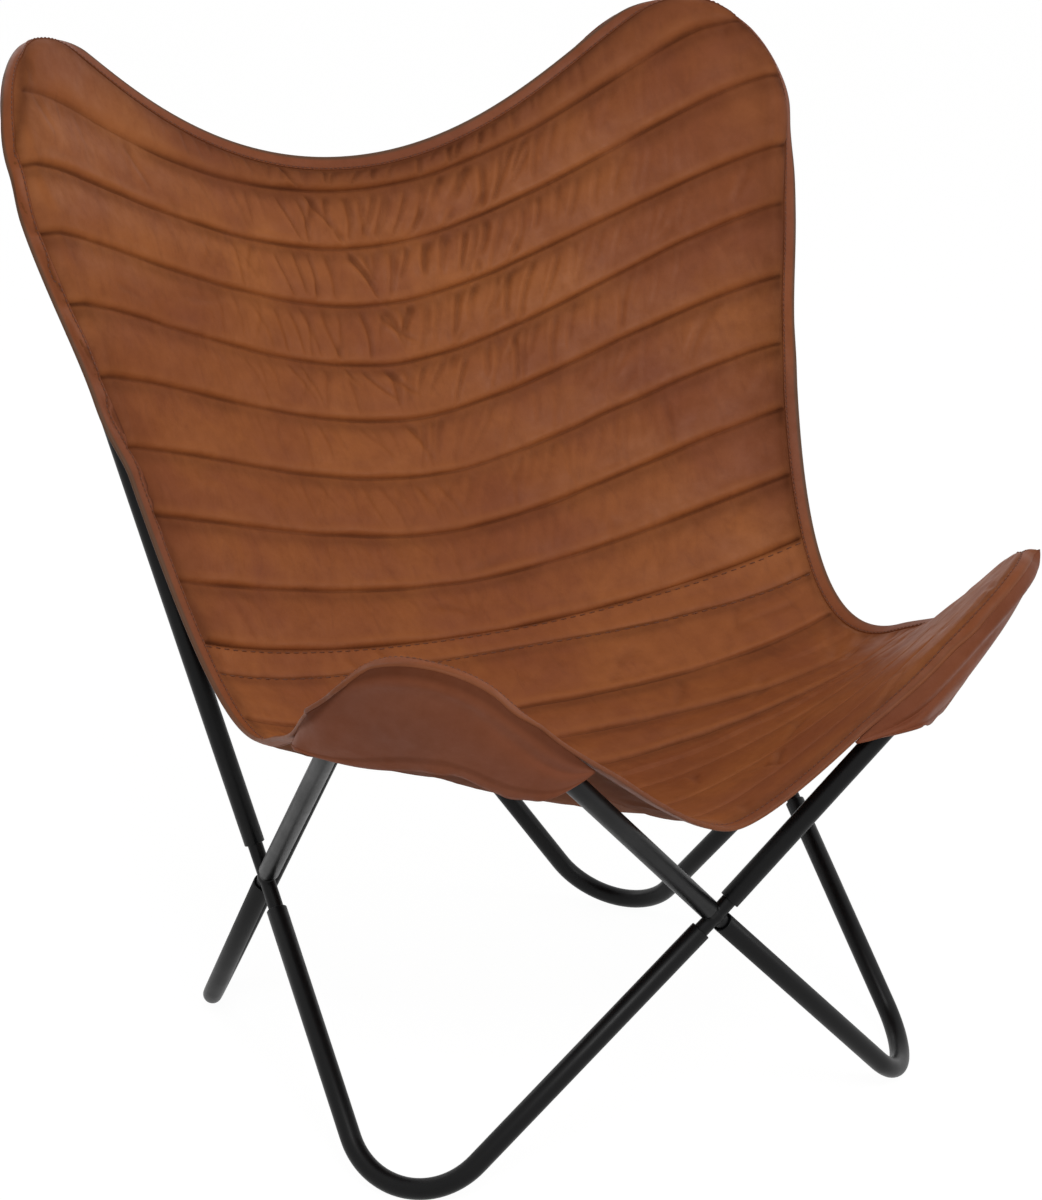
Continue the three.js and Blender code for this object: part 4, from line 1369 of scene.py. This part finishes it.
def smoothed(grid, rounds):
    """A grid whose inner places move to the middle of their neighbours, with its border kept."""
    for _ in range(rounds):
        inner = grid[1:-1, 1:-1]
        around = (grid[:-2, 1:-1] + grid[2:, 1:-1] + grid[1:-1, :-2] + grid[1:-1, 2:]) / 4
        grid = grid.copy()
        grid[1:-1, 1:-1] = (inner + around) / 2
    return grid


def below_plane(places, depth):
    """Places of a bend's plane, all moved to one depth below it."""
    return np.concatenate([places[:, :2], np.full((len(places), 1), -depth)], axis=1)


def pocket_sections(line, edge, hem_controls, slack):
    """Rings from the sling's edge round the tube, down to the hem, in the bend's own plane."""
    shares = np.linspace(0, 1, len(edge))
    from_end = np.minimum(shares, 1 - shares)
    across, up, lift = line.flat(edge)
    reach, out_x, out_y, _ = line.beside(across, up)
    out = np.stack([out_x, out_y, 0 * out_x], -1)
    at_ends = 1 - smoothstep(from_end, 0, 0.1)
    at_edge = np.stack([across, up, lift - EDGE_DROP - END_DROP * at_ends], -1)
    at_edge = at_edge - (EDGE_TUCK + END_TUCK * at_ends)[:, None] * out
    lowered = np.array([0, 0, HEM_DROP])
    hem_line = catmull(np.array([at_edge[0] - lowered, *hem_controls, at_edge[-1] - lowered]), len(edge))
    to_hem = hem_line - at_edge
    toward = to_hem / np.maximum(np.linalg.norm(to_hem, axis=1, keepdims=True), MM)
    hang = np.sin(math.pi * shares)[:, None] * np.array([0, 0, slack])
    round_tube = [
        below_plane(at_edge - out * inward + toward * onward, depth)
        for inward, onward, depth in POCKET_STOPS
    ]
    tight = [
        at_edge,
        *round_tube,
        below_plane(at_edge + to_hem * 0.42, POCKET_UNDER) - 0.7 * hang,
        below_plane(at_edge + to_hem * 0.76, POCKET_UNDER) - hang,
        hem_line,
    ]
    held = ((1 - smoothstep(reach, *HELD_REACHES)) * smoothstep(from_end, 0, 0.16))[:, None]
    sections = []
    for share, held_place in zip(np.linspace(0, 1, len(tight)), tight):
        loose_place = at_edge + to_hem * share - hang * math.sin(math.pi * share) * 0.5
        sections.append(held_place * held + loose_place * (1 - held))
    return catmull(np.stack(sections), POCKET_ROWS)


def pocket(name, line, rim, hem_controls, slack, flip, seed, rim_shade):
    """A pocket's outer sheet, its flat size and its flat area."""
    edge, along = evenly_spaced(rim, POCKET_COLUMNS)
    sections = pocket_sections(line, edge, hem_controls, slack)
    down = np.linspace(0, 1, POCKET_ROWS)[:, None]
    shares = np.linspace(0, 1, POCKET_COLUMNS)
    wave, wave_length = POCKET_WAVE
    ripple, ripple_length = POCKET_RIPPLE
    sections[..., 2] += smoothstep(down, 0.35, 0.8) * np.sin(math.pi * shares) * (
        wave * soft_noise(along / wave_length + 0 * down, down * 2, seed)
        + ripple * soft_noise(along / ripple_length + down * 2, down * 4, seed + 1)
    )
    for rounds in POCKET_SMOOTHING:
        sections = smoothed(clear_of_tube(line, sections), rounds)
    sheet = line.unflat(*np.moveaxis(sections, -1, 0))
    thin_ends = 0.3 + 0.7 * smoothstep(np.minimum(shares, 1 - shares), 0, 0.05)
    half = (POCKET_THICKNESS / 2 + POCKET_HEM_SWELL * bell(down, 0.96, 0.04)) * thin_ends
    swelling = normals_of(sheet) * half[..., None]
    points = np.stack([sheet + swelling, sheet - swelling])
    if flip:
        points = pinched(mirrored(points))
    # Painted shade: a line just above the hem, and a band along the rim, deeper on the left pocket
    shade = bell(down, 0.9, 0.012) * 0.5 + (1 - smoothstep(down, 0.1, 0.28)) * rim_shade
    marks = {"groove_and_painted_shade": shade + np.zeros(points.shape[:3]), "fold": np.zeros(points.shape[:3])}
    faces = slab_faces(POCKET_ROWS, POCKET_COLUMNS)
    made = piece("leather_" + name, points, faces, pocket_leather, [name], marks)
    return made, *laid_out(sheet)


HALF_WAY = len(rows) // 2

# rim_shade: how much painted shade lies along each pocket's rim
for side, flip, rim_shade, horn_hem, horn_rim_ends in (
    ("left", False, 0.55, LEFT_HORN_HEM, LEFT_HORN_RIM_ENDS),
    ("right", True, 0.1, RIGHT_HORN_HEM, RIGHT_HORN_RIM_ENDS),
):
    grid = mirrored(sheet_grid[:, ::-1]) if flip else sheet_grid
    horn_rim = pocket_rim(horn, grid[HALF_WAY:], HORN_RIM_UP, -1, horn_rim_ends)
    back_rim = pocket_rim(back, grid[:HALF_WAY], BACK_RIM_UP, 0, BACK_RIM_ENDS)
    front = pocket("pocket_front_" + side, horn, horn_rim, horn_hem, HORN_SLACK, flip, 41, rim_shade)
    rear = pocket("pocket_back_" + side, back, back_rim, BACK_HEM, BACK_SLACK, flip, 53, rim_shade)


# Stage

def aimed(item, spot, aim):
    item.location = spot
    item.rotation_euler = (Vector(aim) - Vector(spot)).to_track_quat("-Z", "Y").to_euler()
    return item


def seen_directly(tree):
    """One for rays from the camera, off gloss or through glass, which see a white background."""
    path = tree.nodes.new("ShaderNodeLightPath")
    total = path.outputs["Is Camera Ray"]
    for title in ("Is Glossy Ray", "Is Transmission Ray"):
        added = tree.nodes.new("ShaderNodeMath")
        added.operation = "MAXIMUM"
        tree.links.new(total, added.inputs[0])
        tree.links.new(path.outputs[title], added.inputs[1])
        total = added.outputs[0]
    return total


def studio():
    """Three soft lamps, and a world that is white where it is seen and dim as light."""
    world = bpy.data.worlds.new("studio")
    bpy.context.scene.world = world
    world.use_nodes = True
    tree = world.node_tree
    sky = tree.nodes["Background"]
    level = tree.nodes.new("ShaderNodeMapRange")
    level.inputs["To Min"].default_value = AMBIENT
    level.inputs["To Max"].default_value = 1
    tree.links.new(seen_directly(tree), level.inputs["Value"])
    tree.links.new(level.outputs[0], sky.inputs["Strength"])
    sky.inputs["Color"].default_value = WHITE
    for name, (spot, aim_height, width, power) in LAMPS.items():
        lamp = bpy.data.lights.new(name, "AREA")
        lamp.shape = "DISK"
        lamp.size = width
        lamp.energy = power
        aimed(linked(name, lamp), spot, (0, 0, aim_height))


def floor():
    """A pale floor that glows where it is seen, so that only the chair's shadow shows on it."""
    corners = [(-1, -1, 0), (1, -1, 0), (1, 1, 0), (-1, 1, 0)]
    mesh = bpy.data.meshes.new("floor")
    mesh.from_pydata((np.array(corners) * FLOOR_HALF).tolist(), [], [[0, 1, 2, 3]])
    shader = Shader("floor_pale")
    shader.put(shader.surface.inputs["Base Color"], srgb(FLOOR_PALE))
    shader.put(shader.surface.inputs["Roughness"], FLOOR_ROUGHNESS)
    glow = shader.node("ShaderNodeEmission", {"Color": WHITE, "Strength": FLOOR_GLOW})
    share = shader.spread(seen_directly(shader.tree), 0, 1, 0, FLOOR_GLOW_SHARE)
    both = {0: share, 1: shader.surface.outputs[0], 2: glow.outputs[0]}
    blend = shader.node("ShaderNodeMixShader", both)
    shader.put(shader.tree.nodes["Material Output"].inputs["Surface"], blend.outputs[0])
    mesh.materials.append(shader.material)
    linked("floor", mesh)


def camera():
    data = bpy.data.cameras.new("camera")
    data.sensor_width = CAMERA_SENSOR
    data.lens = CAMERA_LENS
    data.shift_x, data.shift_y = CAMERA_SHIFT
    data.clip_end = CAMERA_SEES
    bpy.context.scene.camera = aimed(linked("camera", data), CAMERA_PLACE, CAMERA_AIM)


studio()
floor()
camera()
bpy.context.scene.view_settings.view_transform = "Standard"
